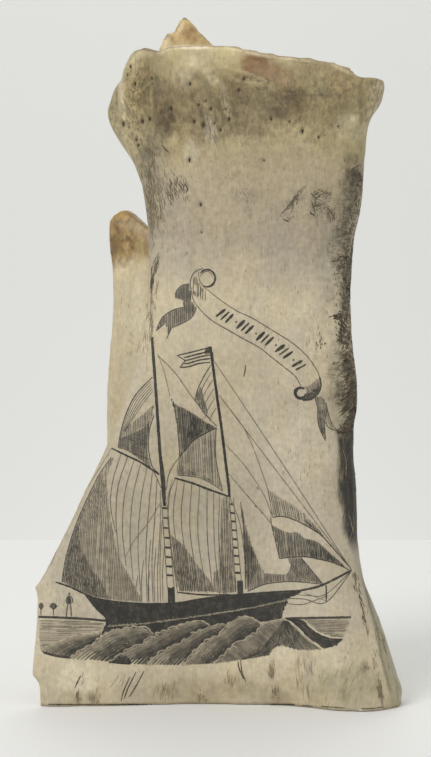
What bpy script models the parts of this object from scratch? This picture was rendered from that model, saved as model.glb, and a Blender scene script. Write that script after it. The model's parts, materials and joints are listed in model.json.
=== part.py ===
"""Scrimshaw bone: the socket end of a shoulder blade, sawn off flat so that it stands on the cut.

Metres, +Z up. The smooth face that carries the picture looks along -Y, the ridge of the blade stands
off the back, and the origin lies in the sawn foot, under the middle of the bone's box.
"""

import math

import bmesh
import bpy
import numpy as np
from mathutils import Vector

# Driving sizes of the bone, in metres. Heights in the tables are shares of the first one.
HEIGHT = 0.2315  # foot to a hair above the broken peak behind the socket
FOOT_WIDTH = 0.1205  # thin border to thick border, at the sawn foot
SOCKET_HALF_DEPTH = 0.0238  # middle of the socket to its rim, front or back
SOCKET_DEPTH = 0.0100  # the hollow of the socket, below its rim
SOCKET_LIP = 0.0030  # rounded edge between the outside of the neck and the hollow
RIDGE_REACH = 0.0355  # middle of the blade to the crest of the ridge
RIDGE_ROOT_THICKNESS = 0.0170
RIDGE_WEB_THICKNESS = 0.0060
RIDGE_CREST_THICKNESS = 0.0095
RIDGE_LEAN = 139.0  # degrees from +X to the ridge, seen from above
RIDGE_ROOT = (-0.0100, 0.0050)  # where the ridge meets the middle of the blade
RIDGE_TIP_ROUNDING = 0.0060  # height of the rounded free end of the ridge
RIDGE_BOW = 0.0030  # how far the crest bows sideways, half way up
RIDGE_TIP_BLUNTNESS = 0.15  # share of its thickness, squared, that is left at the very tip
RIDGE_ROOT_ENDS = 0.42  # share of the way out to the crest where the thick root has thinned to the web
RIDGE_CREST_FLARE = (0.55, 0.95)  # shares of the way out between which the web thickens to the crest
RIDGE_SQUARENESS = 2.6  # 2 is an ellipse, more is a plate with rounded edges
SAW_ALLOWANCE = 0.006  # bone modelled below the foot, which the saw cut then takes off
SAW_BLOCK = 0.4  # side of the block that cuts the foot flat

# Fineness of the faceted solid
PLATE_RING_STEP = 0.0080
SOCKET_RING_STEP = 0.0034
RIDGE_RING_STEP = 0.0090
RIDGE_TIP_RING_STEP = 0.0017
POINTS_ROUND_RIDGE = 22
# Degrees between two points of a ring, at degrees round the section from +X, finest at the peak and the knobs
POINT_SPACING = ((0, 5.2), (60, 6.8), (90, 5.0), (108, 2.8), (116, 2.2), (137, 2.2), (165, 5.0), (198, 3.3),
                 (240, 3.3), (262, 6.8), (300, 6.8), (318, 4.0), (332, 4.0), (360, 5.2))

# Outline of the blade seen from the front: (share of HEIGHT, share of FOOT_WIDTH from the middle).
# The thin border has two chipped steps near the foot, and the thick one a nick at a third of the height.
THIN_BORDER = (
    (-0.026, -0.468), (0.000, -0.474), (0.021, -0.477), (0.034, -0.481), (0.041, -0.4995), (0.063, -0.494),
    (0.119, -0.485), (0.152, -0.4825), (0.163, -0.492), (0.175, -0.475), (0.204, -0.446), (0.231, -0.414),
    (0.256, -0.396), (0.342, -0.317), (0.413, -0.262), (0.470, -0.227), (0.527, -0.199), (0.570, -0.188),
    (0.655, -0.187), (0.712, -0.197), (0.755, -0.2155), (0.784, -0.2535), (0.812, -0.2805), (0.828, -0.289),
    (0.855, -0.2955), (0.882, -0.289), (0.898, -0.2835), (0.912, -0.275),
)
THICK_BORDER = (
    (-0.026, 0.480), (0.000, 0.498), (0.014, 0.507), (0.037, 0.4925), (0.055, 0.482), (0.112, 0.445),
    (0.145, 0.4215), (0.170, 0.402), (0.198, 0.388), (0.284, 0.3815), (0.341, 0.377), (0.379, 0.3665),
    (0.396, 0.383), (0.441, 0.385), (0.527, 0.368), (0.613, 0.370), (0.656, 0.376), (0.713, 0.398),
    (0.770, 0.404), (0.813, 0.412), (0.842, 0.428), (0.870, 0.4500), (0.912, 0.460),
)

# Half the depth of the blade at its two borders: (share of HEIGHT, share of SOCKET_HALF_DEPTH)
THIN_SIDE_HALF = ((-0.03, 0.143), (0.0, 0.143), (0.25, 0.176), (0.45, 0.294), (0.62, 0.441),
                  (0.74, 0.546), (0.80, 0.672), (0.85, 0.840), (0.912, 1.0))
THICK_SIDE_HALF = ((-0.03, 0.630), (0.0, 0.630), (0.20, 0.513), (0.45, 0.483), (0.62, 0.546),
                   (0.74, 0.630), (0.80, 0.706), (0.85, 0.824), (0.912, 0.975))
# Squareness of the section: 2 is an ellipse, more is a slab with rounded borders
SQUARENESS = ((-0.03, 4.2), (0.0, 4.2), (0.25, 3.8), (0.50, 2.7), (0.70, 2.3), (0.912, 2.2))
# The plate bends: share of FOOT_WIDTH that its middle lies behind the neck's at the foot, across from -1 at
# the thin border to 1 at the thick one, and the share of that bend left at a share of HEIGHT
FOOT_BEND = ((-1.0, -0.0714), (-0.6, -0.0473), (0.0, 0.0025), (0.2, 0.0100), (0.45, -0.0149),
             (0.66, -0.0622), (0.82, -0.0647), (1.0, -0.0332))
BEND_LEFT = ((-0.03, 1.0), (0.0, 1.0), (0.12, 0.86), (0.28, 0.45), (0.45, 0.15), (0.60, 0.0), (0.912, 0.0))
# Share of FOOT_WIDTH that the front corner of the thick border is cut back, which leaves a slanted facet
FACET = ((-0.03, 0.040), (0.05, 0.040), (0.15, 0.025), (0.205, 0.0), (0.912, 0.0))
FACET_STARTS = 0.60  # how far across the plate the facet begins

# Knobs and grooves round the socket: share of HEIGHT and degrees round from +X of the middle, the spread
# of each, and the share of SOCKET_HALF_DEPTH that it stands out. The front is at 270 degrees.
SWELLS = (
    (0.872, 218, 0.042, 8.0, 0.193),
    (0.856, 233, 0.045, 7.0, -0.160),
    (0.848, 200, 0.030, 5.0, -0.092),
    (0.838, 178, 0.026, 9.0, 0.036),
    (0.850, 153, 0.035, 9.0, -0.126),
    (0.845, 322, 0.030, 5.0, -0.046),
)
SWELLS_SIDEWAYS = 0.3  # share of its true sideways part that a swell's outward direction keeps
# The hollow keeps back from the rim behind the grooves and between the knobs, so that the wall stays thick:
# (degrees round from +X, share of SOCKET_HALF_DEPTH)
HOLLOW_KEEPS_BACK = ((0, 0.0), (128, 0.0), (152, 0.21), (170, 0.19), (190, 0.16), (214, 0.25), (232, 0.27),
                     (258, 0.0), (360, 0.0))

# Rim of the socket in front and at the back: (across from -1 to 1, share of HEIGHT)
RIM_FRONT = (
    (-1.0, 0.877), (-0.95, 0.884), (-0.917, 0.8975), (-0.866, 0.9122), (-0.80, 0.9162), (-0.762, 0.913),
    (-0.719, 0.9090), (-0.69, 0.9125), (-0.66, 0.9165), (-0.20, 0.9150), (-0.09, 0.9112), (0.085, 0.9045),
    (0.255, 0.8994), (0.43, 0.8976), (0.605, 0.8932), (0.69, 0.8905), (0.775, 0.8838), (0.813, 0.8765),
    (0.845, 0.8800), (1.0, 0.8830),
)
RIM_BACK = (
    (-1.0, 0.877), (-0.87, 0.890), (-0.77, 0.9060), (-0.729, 0.9300), (-0.704, 0.9466), (-0.680, 0.9610),
    (-0.650, 0.9672), (-0.616, 0.9680), (-0.572, 0.9822), (-0.540, 0.9935), (-0.445, 0.9768), (-0.305, 0.9522),
    (-0.20, 0.930), (-0.10, 0.915), (0.22, 0.900), (0.60, 0.889), (1.0, 0.8830),
)
EVEN_RIM = 0.893  # share of HEIGHT of the rim without its lumps and gaps
RIM_REACH_DOWN = 0.80  # share of HEIGHT where the rings start to follow the uneven rim
LIP_RINGS = (0.0, 0.3, 0.7, 1.0)  # shares of the way over the rounded lip
SOCKET_RINGS = (0.86, 0.66, 0.40, 0.16)  # shares of the rim's radius inside the lip
LUMP_FADE = 7  # how fast the rim's lumps fade towards the middle of the socket

# The ridge at the back: (share of HEIGHT, share of RIDGE_REACH) of its crest and of its free inner edge
RIDGE_TOP = 0.7085  # share of HEIGHT of the tip of its free end
RIDGE_CREST = ((-0.03, 0.90), (0.0, 0.90), (0.20, 0.902), (0.38, 0.950), (0.44, 0.954), (0.50, 0.922),
               (0.575, 0.898), (0.62, 0.910), (0.651, 0.946), (0.673, 0.960), (0.692, 0.950),
               (0.703, 0.880), (0.7085, 0.812))
RIDGE_INNER = ((-0.03, 0.0), (0.54, 0.0), (0.60, 0.09), (0.648, 0.28), (0.6776, 0.48), (0.694, 0.63),
               (0.704, 0.72), (0.7085, 0.775))

BONE_COLOUR = (0.62, 0.55, 0.42, 1.0)


def curve_through(points):
    """A smooth curve through (place, value) points that doesn't swing past them."""
    place, value = np.array(points, float).T
    slope = np.diff(value) / np.diff(place)
    tangent = np.zeros_like(value)
    tangent[0], tangent[-1] = slope[0], slope[-1]
    same_way = slope[:-1] * slope[1:] > 0
    before, after = slope[:-1][same_way], slope[1:][same_way]
    tangent[1:-1][same_way] = 2 * before * after / (before + after)

    def at(where):
        i = min(max(int(np.searchsorted(place, where)) - 1, 0), len(place) - 2)
        step = place[i + 1] - place[i]
        t = min(max((where - place[i]) / step, 0.0), 1.0)
        return float(
            value[i] * (1 + 2 * t) * (1 - t) ** 2
            + value[i + 1] * t * t * (3 - 2 * t)
            + tangent[i] * step * t * (1 - t) ** 2
            - tangent[i + 1] * step * t * t * (1 - t)
        )

    return at


def smooth_step(low, high, x):
    t = min(max((x - low) / (high - low), 0.0), 1.0)
    return t * t * (3 - 2 * t)


def bell(x, spread):
    return math.exp(-0.5 * (x / spread) ** 2)


def heights_between(low, high, step, extra=()):
    """Ring heights a step apart, with the extra ones put in and near neighbours of those left out."""
    count = round((high - low) / step)
    even = [low + (high - low) * k / count for k in range(count + 1)]
    kept = [z for z in even if all(abs(z - e) > step / 3 for e in extra)]
    return sorted({*kept, *extra, low, high})


def rounded(angle, squareness):
    """A point of the unit superellipse at this angle."""
    c, s = math.cos(angle), math.sin(angle)
    power = 2 / squareness
    return math.copysign(abs(c) ** power, c), math.copysign(abs(s) ** power, s)


class Blade:
    """The plate of the bone, from the sawn foot up to the rim of the socket."""

    thin, thick = curve_through(THIN_BORDER), curve_through(THICK_BORDER)
    thin_half, thick_half = curve_through(THIN_SIDE_HALF), curve_through(THICK_SIDE_HALF)
    bend, bend_left = curve_through(FOOT_BEND), curve_through(BEND_LEFT)
    facet, squareness = curve_through(FACET), curve_through(SQUARENESS)
    rim_front, rim_back = curve_through(RIM_FRONT), curve_through(RIM_BACK)
    keeps_back = curve_through(HOLLOW_KEEPS_BACK)
    top = THIN_BORDER[-1][0]
    middle_of_top = Vector(((thin(top) + thick(top)) * FOOT_WIDTH / 2, 0.0))

    @classmethod
    def angles(cls):
        """Angles of the points round a ring, as far apart as POINT_SPACING says."""
        spacing = curve_through(POINT_SPACING)
        turned = [0.0]
        while turned[-1] < 360:
            turned.append(turned[-1] + spacing(turned[-1]))
        return [math.radians(360 * t / turned[-1]) for t in turned[:-1]]

    @classmethod
    def swell(cls, share, angle):
        """How far the knobs stand out, and the grooves sink in, at a place on the outside."""
        out = 0.0
        for height, degrees, height_spread, degree_spread, depth in SWELLS:
            away = (math.degrees(angle) - degrees + 180) % 360 - 180
            out += depth * bell(share - height, height_spread) * bell(away, degree_spread)
        return out * SOCKET_HALF_DEPTH

    @classmethod
    def section(cls, share, angle):
        """(x, y) of the outside at a share of HEIGHT, at an angle round the section."""
        left, right = cls.thin(share) * FOOT_WIDTH, cls.thick(share) * FOOT_WIDTH
        across, deep = rounded(angle, cls.squareness(share))
        thickening = (cls.thick_half(share) - cls.thin_half(share)) * ((across + 1) / 2) ** 2
        half = (cls.thin_half(share) + thickening) * SOCKET_HALF_DEPTH
        sideways = math.cos(angle) * half * SWELLS_SIDEWAYS
        outward = Vector((sideways, math.sin(angle) * (right - left) / 2)).normalized()
        pushed = outward * cls.swell(share, angle)
        cut = cls.facet(share) * FOOT_WIDTH * min(deep, 0.0) ** 2 * smooth_step(FACET_STARTS, 1.0, across)
        x = (left + right) / 2 + across * (right - left) / 2 - cut + pushed.x
        y = cls.bend(across) * FOOT_WIDTH * cls.bend_left(share) + half * deep + pushed.y
        return Vector((x, y))

    @classmethod
    def rim(cls, angle):
        """Share of HEIGHT of the rim at an angle round the socket."""
        across, deep = rounded(angle, cls.squareness(cls.top))
        return (cls.rim_front if deep < 0 else cls.rim_back)(across)

    @classmethod
    def outside(cls, share, angle):
        """A point of the outside, moved up or down near the top so that the last ring follows the rim."""
        follow = smooth_step(RIM_REACH_DOWN, cls.top, share)
        height = share + (cls.rim(angle) - cls.top) * follow
        return Vector((*cls.section(share, angle), height * HEIGHT))

    @classmethod
    def lip(cls, angle, turned):
        """A point of the rounded lip, from 0 on the outside to 1 on the edge of the hollow."""
        rim = cls.outside(cls.top, angle)
        inward = (cls.middle_of_top - rim.xy).normalized()
        around = math.pi * turned
        kept_back = cls.keeps_back(math.degrees(angle)) * SOCKET_HALF_DEPTH * smooth_step(0.5, 1.0, turned)
        moved = inward * (SOCKET_LIP * (1 - math.cos(around)) / 2 + kept_back)
        return rim + Vector((*moved, SOCKET_LIP * 0.5 * (math.sin(around) - 1)))

    @classmethod
    def inside(cls, ring, angle):
        """A point of the socket's hollow, at a share of the way from its middle out to the lip."""
        edge = cls.lip(angle, 1.0)
        even = EVEN_RIM * HEIGHT - SOCKET_DEPTH * (1 - ring * ring)
        lump = (edge.z - EVEN_RIM * HEIGHT) * ring ** LUMP_FADE
        return Vector((*cls.middle_of_top.lerp(edge.xy, ring), even + lump))


def mesh_of_rings(name, rings, tip=None):
    """A closed solid lofted through rings of points, with a flat end and a flat or pointed one."""
    shape = bmesh.new()
    loops = [[shape.verts.new(p) for p in ring] for ring in rings]
    count = len(loops[0])
    for low, high in zip(loops, loops[1:]):
        for k in range(count):
            shape.faces.new((low[k], low[(k + 1) % count], high[(k + 1) % count], high[k]))
    shape.faces.new(reversed(loops[0]))
    if tip is None:
        shape.faces.new(loops[-1])
    else:
        point = shape.verts.new(tip)
        for k in range(count):
            shape.faces.new((loops[-1][k], loops[-1][(k + 1) % count], point))
    mesh = bpy.data.meshes.new(name)
    shape.to_mesh(mesh)
    shape.free()
    return bpy.data.objects.new(name, mesh)


def make_blade():
    angles = Blade.angles()
    chips = [share * HEIGHT for share, _ in THIN_BORDER[1:11]]
    socket_starts = RIM_REACH_DOWN * HEIGHT
    heights = heights_between(-SAW_ALLOWANCE, socket_starts, PLATE_RING_STEP, chips)
    heights += heights_between(socket_starts, Blade.top * HEIGHT, SOCKET_RING_STEP)[1:-1]
    rings = [[Blade.outside(z / HEIGHT, a) for a in angles] for z in heights]
    rings += [[Blade.lip(a, turned) for a in angles] for turned in LIP_RINGS]
    rings += [[Blade.inside(ring, a) for a in angles] for ring in SOCKET_RINGS]
    deepest = Vector((*Blade.middle_of_top, EVEN_RIM * HEIGHT - SOCKET_DEPTH))
    return mesh_of_rings("socket_end_of_blade", rings, deepest)


def ridge_half_thickness(out, height):
    """Half the ridge's thickness at a share of the way out to its crest, at a height."""
    near_root, near_crest = 1 - smooth_step(0.0, RIDGE_ROOT_ENDS, out), smooth_step(*RIDGE_CREST_FLARE, out)
    web = RIDGE_WEB_THICKNESS * (1 - near_root) * (1 - near_crest)
    whole = RIDGE_ROOT_THICKNESS * near_root + web + RIDGE_CREST_THICKNESS * near_crest
    above_shoulder = max(0.0, height - RIDGE_TOP * HEIGHT + RIDGE_TIP_ROUNDING) / RIDGE_TIP_ROUNDING
    return whole / 2 * math.sqrt(1 - (1 - RIDGE_TIP_BLUNTNESS) * above_shoulder ** 2)


def make_ridge():
    """The spine of the shoulder blade, a plate whose free upper end slopes up to a blunt tip."""
    crest, inner = curve_through(RIDGE_CREST), curve_through(RIDGE_INNER)
    lean = math.radians(RIDGE_LEAN)
    out_way, side_way = Vector((math.cos(lean), math.sin(lean))), Vector((-math.sin(lean), math.cos(lean)))
    tip, tip_starts = RIDGE_TOP * HEIGHT, RIDGE_TOP * HEIGHT - 2 * RIDGE_TIP_ROUNDING
    heights = heights_between(-SAW_ALLOWANCE, tip_starts, RIDGE_RING_STEP)
    heights += heights_between(tip_starts, tip, RIDGE_TIP_RING_STEP)[1:]
    rings = []
    for z in heights:
        near, far = inner(z / HEIGHT), crest(z / HEIGHT)
        ring = []
        for k in range(POINTS_ROUND_RIDGE):
            across, deep = rounded(2 * math.pi * k / POINTS_ROUND_RIDGE, RIDGE_SQUARENESS)
            out = (near + far) / 2 + across * (far - near) / 2
            bow = RIDGE_BOW * max(out, 0.0) ** 2 * math.sin(math.pi * min(max(z / tip, 0.0), 1.0))
            aside = deep * ridge_half_thickness(min(out, 1.0), z) + bow
            place = Vector(RIDGE_ROOT) + out_way * out * RIDGE_REACH + side_way * aside
            ring.append((*place, z))
        rings.append(ring)
    return mesh_of_rings("ridge_of_blade", rings)


def make_saw_block():
    bpy.ops.mesh.primitive_cube_add(size=SAW_BLOCK, location=(0, 0, -SAW_BLOCK / 2))
    block = bpy.context.object
    block.name = "saw_block"
    return block


def bone_material():
    material = bpy.data.materials.new("polished_bone")
    material.use_nodes = True
    shader = material.node_tree.nodes["Principled BSDF"]
    shader.inputs["Base Color"].default_value = BONE_COLOUR
    shader.inputs["Roughness"].default_value = 0.42
    return material


def use_tool(bone, tool, operation):
    """Joins a tool object to the bone, or cuts it away, and leaves the tool out of the render."""
    step = bone.modifiers.new(tool.name, "BOOLEAN")
    step.operation = operation
    step.object = tool
    tool.hide_render = True
    tool.display_type = "WIRE"


def move_to_collection(obj, collection):
    for held_in in list(obj.users_collection):
        held_in.objects.unlink(obj)
    collection.objects.link(obj)


def stand_on_origin(bone, tools):
    """Moves the bone and its tools so that the bone's box stands centred on the origin."""
    bpy.context.view_layer.update()
    shape = bone.evaluated_get(bpy.context.evaluated_depsgraph_get())
    corners = [shape.matrix_world @ Vector(corner) for corner in shape.bound_box]
    low = Vector([min(c[i] for c in corners) for i in range(3)])
    high = Vector([max(c[i] for c in corners) for i in range(3)])
    offset = Vector(((low.x + high.x) / 2, (low.y + high.y) / 2, 0.0))
    for obj in (bone, *tools):
        obj.location -= offset


def main():
    for obj in list(bpy.data.objects):
        bpy.data.objects.remove(obj)
    parts = bpy.data.collections.new("scrimshaw_bone")
    helpers = bpy.data.collections.new("joined_and_cut")
    for collection in (parts, helpers):
        bpy.context.scene.collection.children.link(collection)

    bone = make_blade()
    bone.name = "whale_bone"
    parts.objects.link(bone)
    bone.data.materials.append(bone_material())

    ridge, saw = make_ridge(), make_saw_block()
    for tool, operation in ((ridge, "UNION"), (saw, "DIFFERENCE")):
        move_to_collection(tool, helpers)
        use_tool(bone, tool, operation)
    stand_on_origin(bone, (ridge, saw))


main()
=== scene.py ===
"""Scrimshaw bone: the finish of the bone, the picture inked into its front, and a plain studio round it."""

import json
import math

import bmesh
import bpy
import numpy as np
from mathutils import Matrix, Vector
from mathutils.bvhtree import BVHTree

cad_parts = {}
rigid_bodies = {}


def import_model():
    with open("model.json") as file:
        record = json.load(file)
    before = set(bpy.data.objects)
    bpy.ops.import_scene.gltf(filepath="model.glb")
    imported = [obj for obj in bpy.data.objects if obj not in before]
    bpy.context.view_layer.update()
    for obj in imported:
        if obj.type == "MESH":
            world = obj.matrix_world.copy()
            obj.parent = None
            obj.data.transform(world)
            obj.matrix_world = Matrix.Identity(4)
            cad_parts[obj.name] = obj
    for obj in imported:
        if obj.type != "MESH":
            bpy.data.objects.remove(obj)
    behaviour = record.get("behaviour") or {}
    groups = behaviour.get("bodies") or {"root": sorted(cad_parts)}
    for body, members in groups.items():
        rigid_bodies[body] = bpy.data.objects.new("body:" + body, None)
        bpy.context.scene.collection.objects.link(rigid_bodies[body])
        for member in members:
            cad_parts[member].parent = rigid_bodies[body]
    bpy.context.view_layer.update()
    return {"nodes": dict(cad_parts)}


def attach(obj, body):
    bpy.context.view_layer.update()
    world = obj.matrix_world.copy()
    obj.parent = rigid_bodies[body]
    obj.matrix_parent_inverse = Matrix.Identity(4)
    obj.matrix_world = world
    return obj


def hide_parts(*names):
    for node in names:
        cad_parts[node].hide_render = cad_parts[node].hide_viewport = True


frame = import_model()

# The photograph's frame in pixels, and where its camera stood in metres
PHOTO_WIDTH, PHOTO_HEIGHT = 431, 757
FOCAL_PIXELS = 1667.0
CAMERA_PLACE = Vector((-0.0008, -0.5525, 0.106))
SENSOR_HEIGHT = 36.0

# The even mesh that carries the relief of the bone, in metres
FACE_SIZE = 0.00108
SMOOTHING_ROUNDS = 40
PLATE_SMOOTHING_ROUNDS = 90
SHRINK, REGROW = 0.50, -0.53  # shares of the way to the neighbours' mean in each half round of smoothing
FOOT_BAND = 0.0007  # what lies lower than this is pressed flat on the table
SOCKET_STARTS = 0.180  # height where the plate has turned into the socket's neck

# Studio, in metres from the bone
TABLE_END = 0.544
TABLE_HALF_WIDTH = 3.0
TABLE_FRONT = -1.6
WALL_HEIGHT = 3.0
WALL_BEHIND = 0.9


def paint(red, green, blue):
    """A colour as seen on a screen, 0 to 255, as the linear light that a shader takes."""
    seen = np.array((red, green, blue)) / 255
    return np.where(seen <= 0.04045, seen / 12.92, ((seen + 0.055) / 1.055) ** 2.4)


def corners(text):
    """Pixel corners written as "across,down across,down"."""
    return [tuple(float(number) for number in pair.split(",")) for pair in text.split()]


def table(text):
    """The rows of a table of numbers, with a semicolon or a line's end after each row."""
    rows = text.replace("\n", ";").split(";")
    return [[float(number) for number in row.split()] for row in rows if row.strip()]


def smooth_step(low, high, x):
    t = np.clip((x - low) / (high - low), 0, 1)
    return t * t * (3 - 2 * t)


def window(x, rise, fall):
    """1 between a rise and a fall, each given as where it is 0 and 1, or 1 and 0."""
    return smooth_step(*rise, x) * smooth_step(fall[1], fall[0], x)


def bell(x, spread):
    return np.exp(-0.5 * (x / spread) ** 2)


# Noise

def hashed(cells, seed):
    """A steady random number from -1 to 1 for each cell of a lattice."""
    x, y, z = cells.astype(np.uint64).T
    mixed = x * np.uint64(73856093) ^ y * np.uint64(19349663) ^ z * np.uint64(83492791)
    mixed ^= np.uint64(seed * 2654435761 % 2 ** 32)
    for shift in (13, 17, 5):
        mixed ^= mixed >> np.uint64(shift)
        mixed *= np.uint64(1274126177)
    return (mixed >> np.uint64(20) & np.uint64(0xFFFF)).astype(float) / 32767.5 - 1


def noise(points, size, seed):
    """Smooth noise from -1 to 1 with lumps about one size across; size may differ along X, Y and Z."""
    place = points / size + 500
    low = np.floor(place)
    part = place - low
    fade = part * part * (3 - 2 * part)
    total = np.zeros(len(points))
    for corner in np.ndindex(2, 2, 2):
        weight = np.prod(np.where(corner, fade, 1 - fade), axis=1)
        total += weight * hashed(low + corner, seed)
    return total


def rough_noise(points, size, seed, octaves=3):
    """Noise with finer noise on top of it."""
    size = np.array(size, float)
    return sum(noise(points, size / 2 ** k, seed + k) / 2 ** k for k in range(octaves)) / 1.5


# What the photograph shows where

def seen_at(points):
    """Across and down in the photograph's pixels, for each point."""
    ahead = points[:, 1] - CAMERA_PLACE.y
    across = PHOTO_WIDTH / 2 + FOCAL_PIXELS * (points[:, 0] - CAMERA_PLACE.x) / ahead
    down = PHOTO_HEIGHT / 2 - FOCAL_PIXELS * (points[:, 2] - CAMERA_PLACE.z) / ahead
    return across, down


def turned_to_camera(points, normals):
    """1 where the surface looks at the photograph's camera, 0 square to it, and less behind."""
    away = points - np.array(CAMERA_PLACE)
    return -np.sum(normals * away, axis=1) / np.linalg.norm(away, axis=1)


def from_line(across, down, corners):
    """Distance in pixels to a line through pixel corners."""
    nearest = np.full(len(across), np.inf)
    for (x0, y0), (x1, y1) in zip(corners, corners[1:]):
        run, drop = x1 - x0, y1 - y0
        share = np.clip(((across - x0) * run + (down - y0) * drop) / (run * run + drop * drop), 0, 1)
        nearest = np.minimum(nearest, np.hypot(across - x0 - share * run, down - y0 - share * drop))
    return nearest


def in_oval(across, down, oval):
    """0 in the middle of an oval (x, y, half width, half height, degrees turned), and 1 at its edge."""
    x, y, half_width, half_height, degrees = oval
    turn = math.radians(degrees)
    along = (across - x) * math.cos(turn) + (down - y) * math.sin(turn)
    beside = (down - y) * math.cos(turn) - (across - x) * math.sin(turn)
    return np.hypot(along / half_width, beside / half_height)


def within(ovals, across, down, edge, core):
    """Summed strengths of ovals: full inside a core, gone outside an edge, both as shares of the oval."""
    return sum(much * smooth_step(edge, core, in_oval(across, down, oval)) for *oval, much in ovals)


# Mesh of the bone

def places_of(mesh):
    places = np.empty(len(mesh.vertices) * 3)
    mesh.vertices.foreach_get("co", places)
    return places.reshape(-1, 3)


def normals_of(mesh):
    normals = np.empty(len(mesh.vertices) * 3)
    mesh.vertex_normals.foreach_get("vector", normals)
    return normals.reshape(-1, 3)


def put_back(mesh, places):
    mesh.vertices.foreach_set("co", places.ravel())
    mesh.update()


def even_mesh(node):
    """A copy of the solid bone with small, even faces."""
    bone = bpy.data.objects.new("engraved_bone", node.data.copy())
    bpy.context.scene.collection.objects.link(bone)
    shape = bmesh.new()
    shape.from_mesh(bone.data)
    bmesh.ops.remove_doubles(shape, verts=shape.verts, dist=1e-6)
    shape.to_mesh(bone.data)
    shape.free()
    remesh = bone.modifiers.new("even_faces", "REMESH")
    remesh.mode = "VOXEL"
    remesh.voxel_size = FACE_SIZE
    bpy.context.view_layer.update()
    made = bpy.data.meshes.new_from_object(bone.evaluated_get(bpy.context.evaluated_depsgraph_get()))
    bone.modifiers.clear()
    bone.data = made
    made.name = "engraved_bone"
    return bone


def smoothed(mesh, rounds, steps, share_moved=1.0):
    """Draws each vertex towards the mean of its neighbours, and keeps the sawn foot flat."""
    edges = np.empty(len(mesh.edges) * 2, int)
    mesh.edges.foreach_get("vertices", edges)
    start, end = edges.reshape(-1, 2).T
    places = places_of(mesh)
    count = len(places)
    neighbours = np.bincount(start, minlength=count) + np.bincount(end, minlength=count)
    foot = places[:, 2] < FOOT_BAND
    for _ in range(rounds):
        for step in steps:
            for axis in range(3):
                column = places[:, axis]
                summed = np.bincount(start, column[end], count) + np.bincount(end, column[start], count)
                moved = column + step * share_moved * (summed / neighbours - column)
                places[:, axis] = np.where(foot, column, moved) if axis == 2 else moved
    places[foot, 2] = 0.0
    put_back(mesh, places)


def flatness(mesh):
    """1 on the broad faces of the plate, 0 at its borders and round the socket."""
    broad = smooth_step(0.70, 0.93, np.abs(normals_of(mesh)[:, 1]))
    heights = places_of(mesh)[:, 2]
    return broad * (1 - smooth_step(SOCKET_STARTS - 0.010, SOCKET_STARTS + 0.004, heights))


def refined(mesh, wanted):
    """Halves the edges of the faces where wanted says so."""
    shape = bmesh.new()
    shape.from_mesh(mesh)
    shape.verts.ensure_lookup_table()
    edges = [e for e in shape.edges if wanted[e.verts[0].index] and wanted[e.verts[1].index]]
    bmesh.ops.subdivide_edges(shape, edges=edges, cuts=1, use_grid_fill=True)
    bmesh.ops.triangulate(shape, faces=shape.faces)
    shape.to_mesh(mesh)
    shape.free()


# Weathered right border: the pixels where it begins, as "down,across", and where it ends on the plate
WEAR_BEGINS = corners("""
150,358 163,352 185,338 215,331 240,326 265,335 300,337 330,337 350,334 372,328 400,333 425,335 437,337
470,336 492,337 502,339 530,343 548,348""")
WEAR_TOP, WEAR_STRIP, WEAR_END = 158, 437, 548
UPPER_WEAR = 250, 0.42  # above this row the wear is fainter by this share
WEAR_BACK = (0.003, 0.011)  # metres behind the bone's middle between which the wear on the side fades
WEAR_EDGE_SWING, STRIP_EDGE_SWING, STRIP_EDGE_STREAKS = 7, 2.5, 2.5  # pixels
WEAR_EDGE_SOFTNESS, STRIP_EDGE_SOFTNESS = 20, 5  # pixels
STRIP_GRAIN = (0.0011, 0.0011, 0.012), 34  # size and seed of the fine upright grain of the dark strip

# Where the mesh is finer, as pixel boxes (left, top, right, bottom)
FINE_BOXES = table("""
105 40 392 150; 325 150 372 445; 138 150 200 245; 105 205 152 262""")


def wear_on_border(places, across, down):
    """How much of the thick border's dark, pitted weathering a place has."""
    rows, edges = np.array(WEAR_BEGINS).T
    strip = smooth_step(WEAR_STRIP - 20, WEAR_STRIP, down)
    swing = WEAR_EDGE_SWING + (STRIP_EDGE_SWING - WEAR_EDGE_SWING) * strip
    ragged = rough_noise(places, 0.004, 11) * swing
    ragged += STRIP_EDGE_STREAKS * strip * noise(places, *STRIP_GRAIN)
    softness = WEAR_EDGE_SOFTNESS + (STRIP_EDGE_SOFTNESS - WEAR_EDGE_SOFTNESS) * strip
    inward = smooth_step(-0.35, 1, (across + ragged - np.interp(down, rows, edges)) / softness)
    ends = smooth_step(WEAR_TOP - 12, WEAR_TOP + 26, down + ragged * 2)
    ends *= smooth_step(WEAR_END + 8, WEAR_END - 14, down)
    behind = 1 - smooth_step(*WEAR_BACK, places[:, 1] + rough_noise(places, 0.008, 12) * 0.003)
    right = smooth_step(0.0, 0.02, places[:, 0])
    row, fainter = UPPER_WEAR
    upper = 1 - fainter * smooth_step(row + 18, row - 18, down + ragged)
    return inward * ends * behind * right * upper


def fine_places(mesh):
    places, normals = places_of(mesh), normals_of(mesh)
    across, down = seen_at(places)
    facing = turned_to_camera(places, normals) > -0.15
    wanted = np.zeros(len(places), bool)
    for left, top, right, bottom in FINE_BOXES:
        wanted |= (across > left) & (across < right) & (down > top) & (down < bottom)
    return wanted & facing


# Relief, with places in pixels and depths in metres

# Relief, with places in pixels and depths in metres

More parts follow.
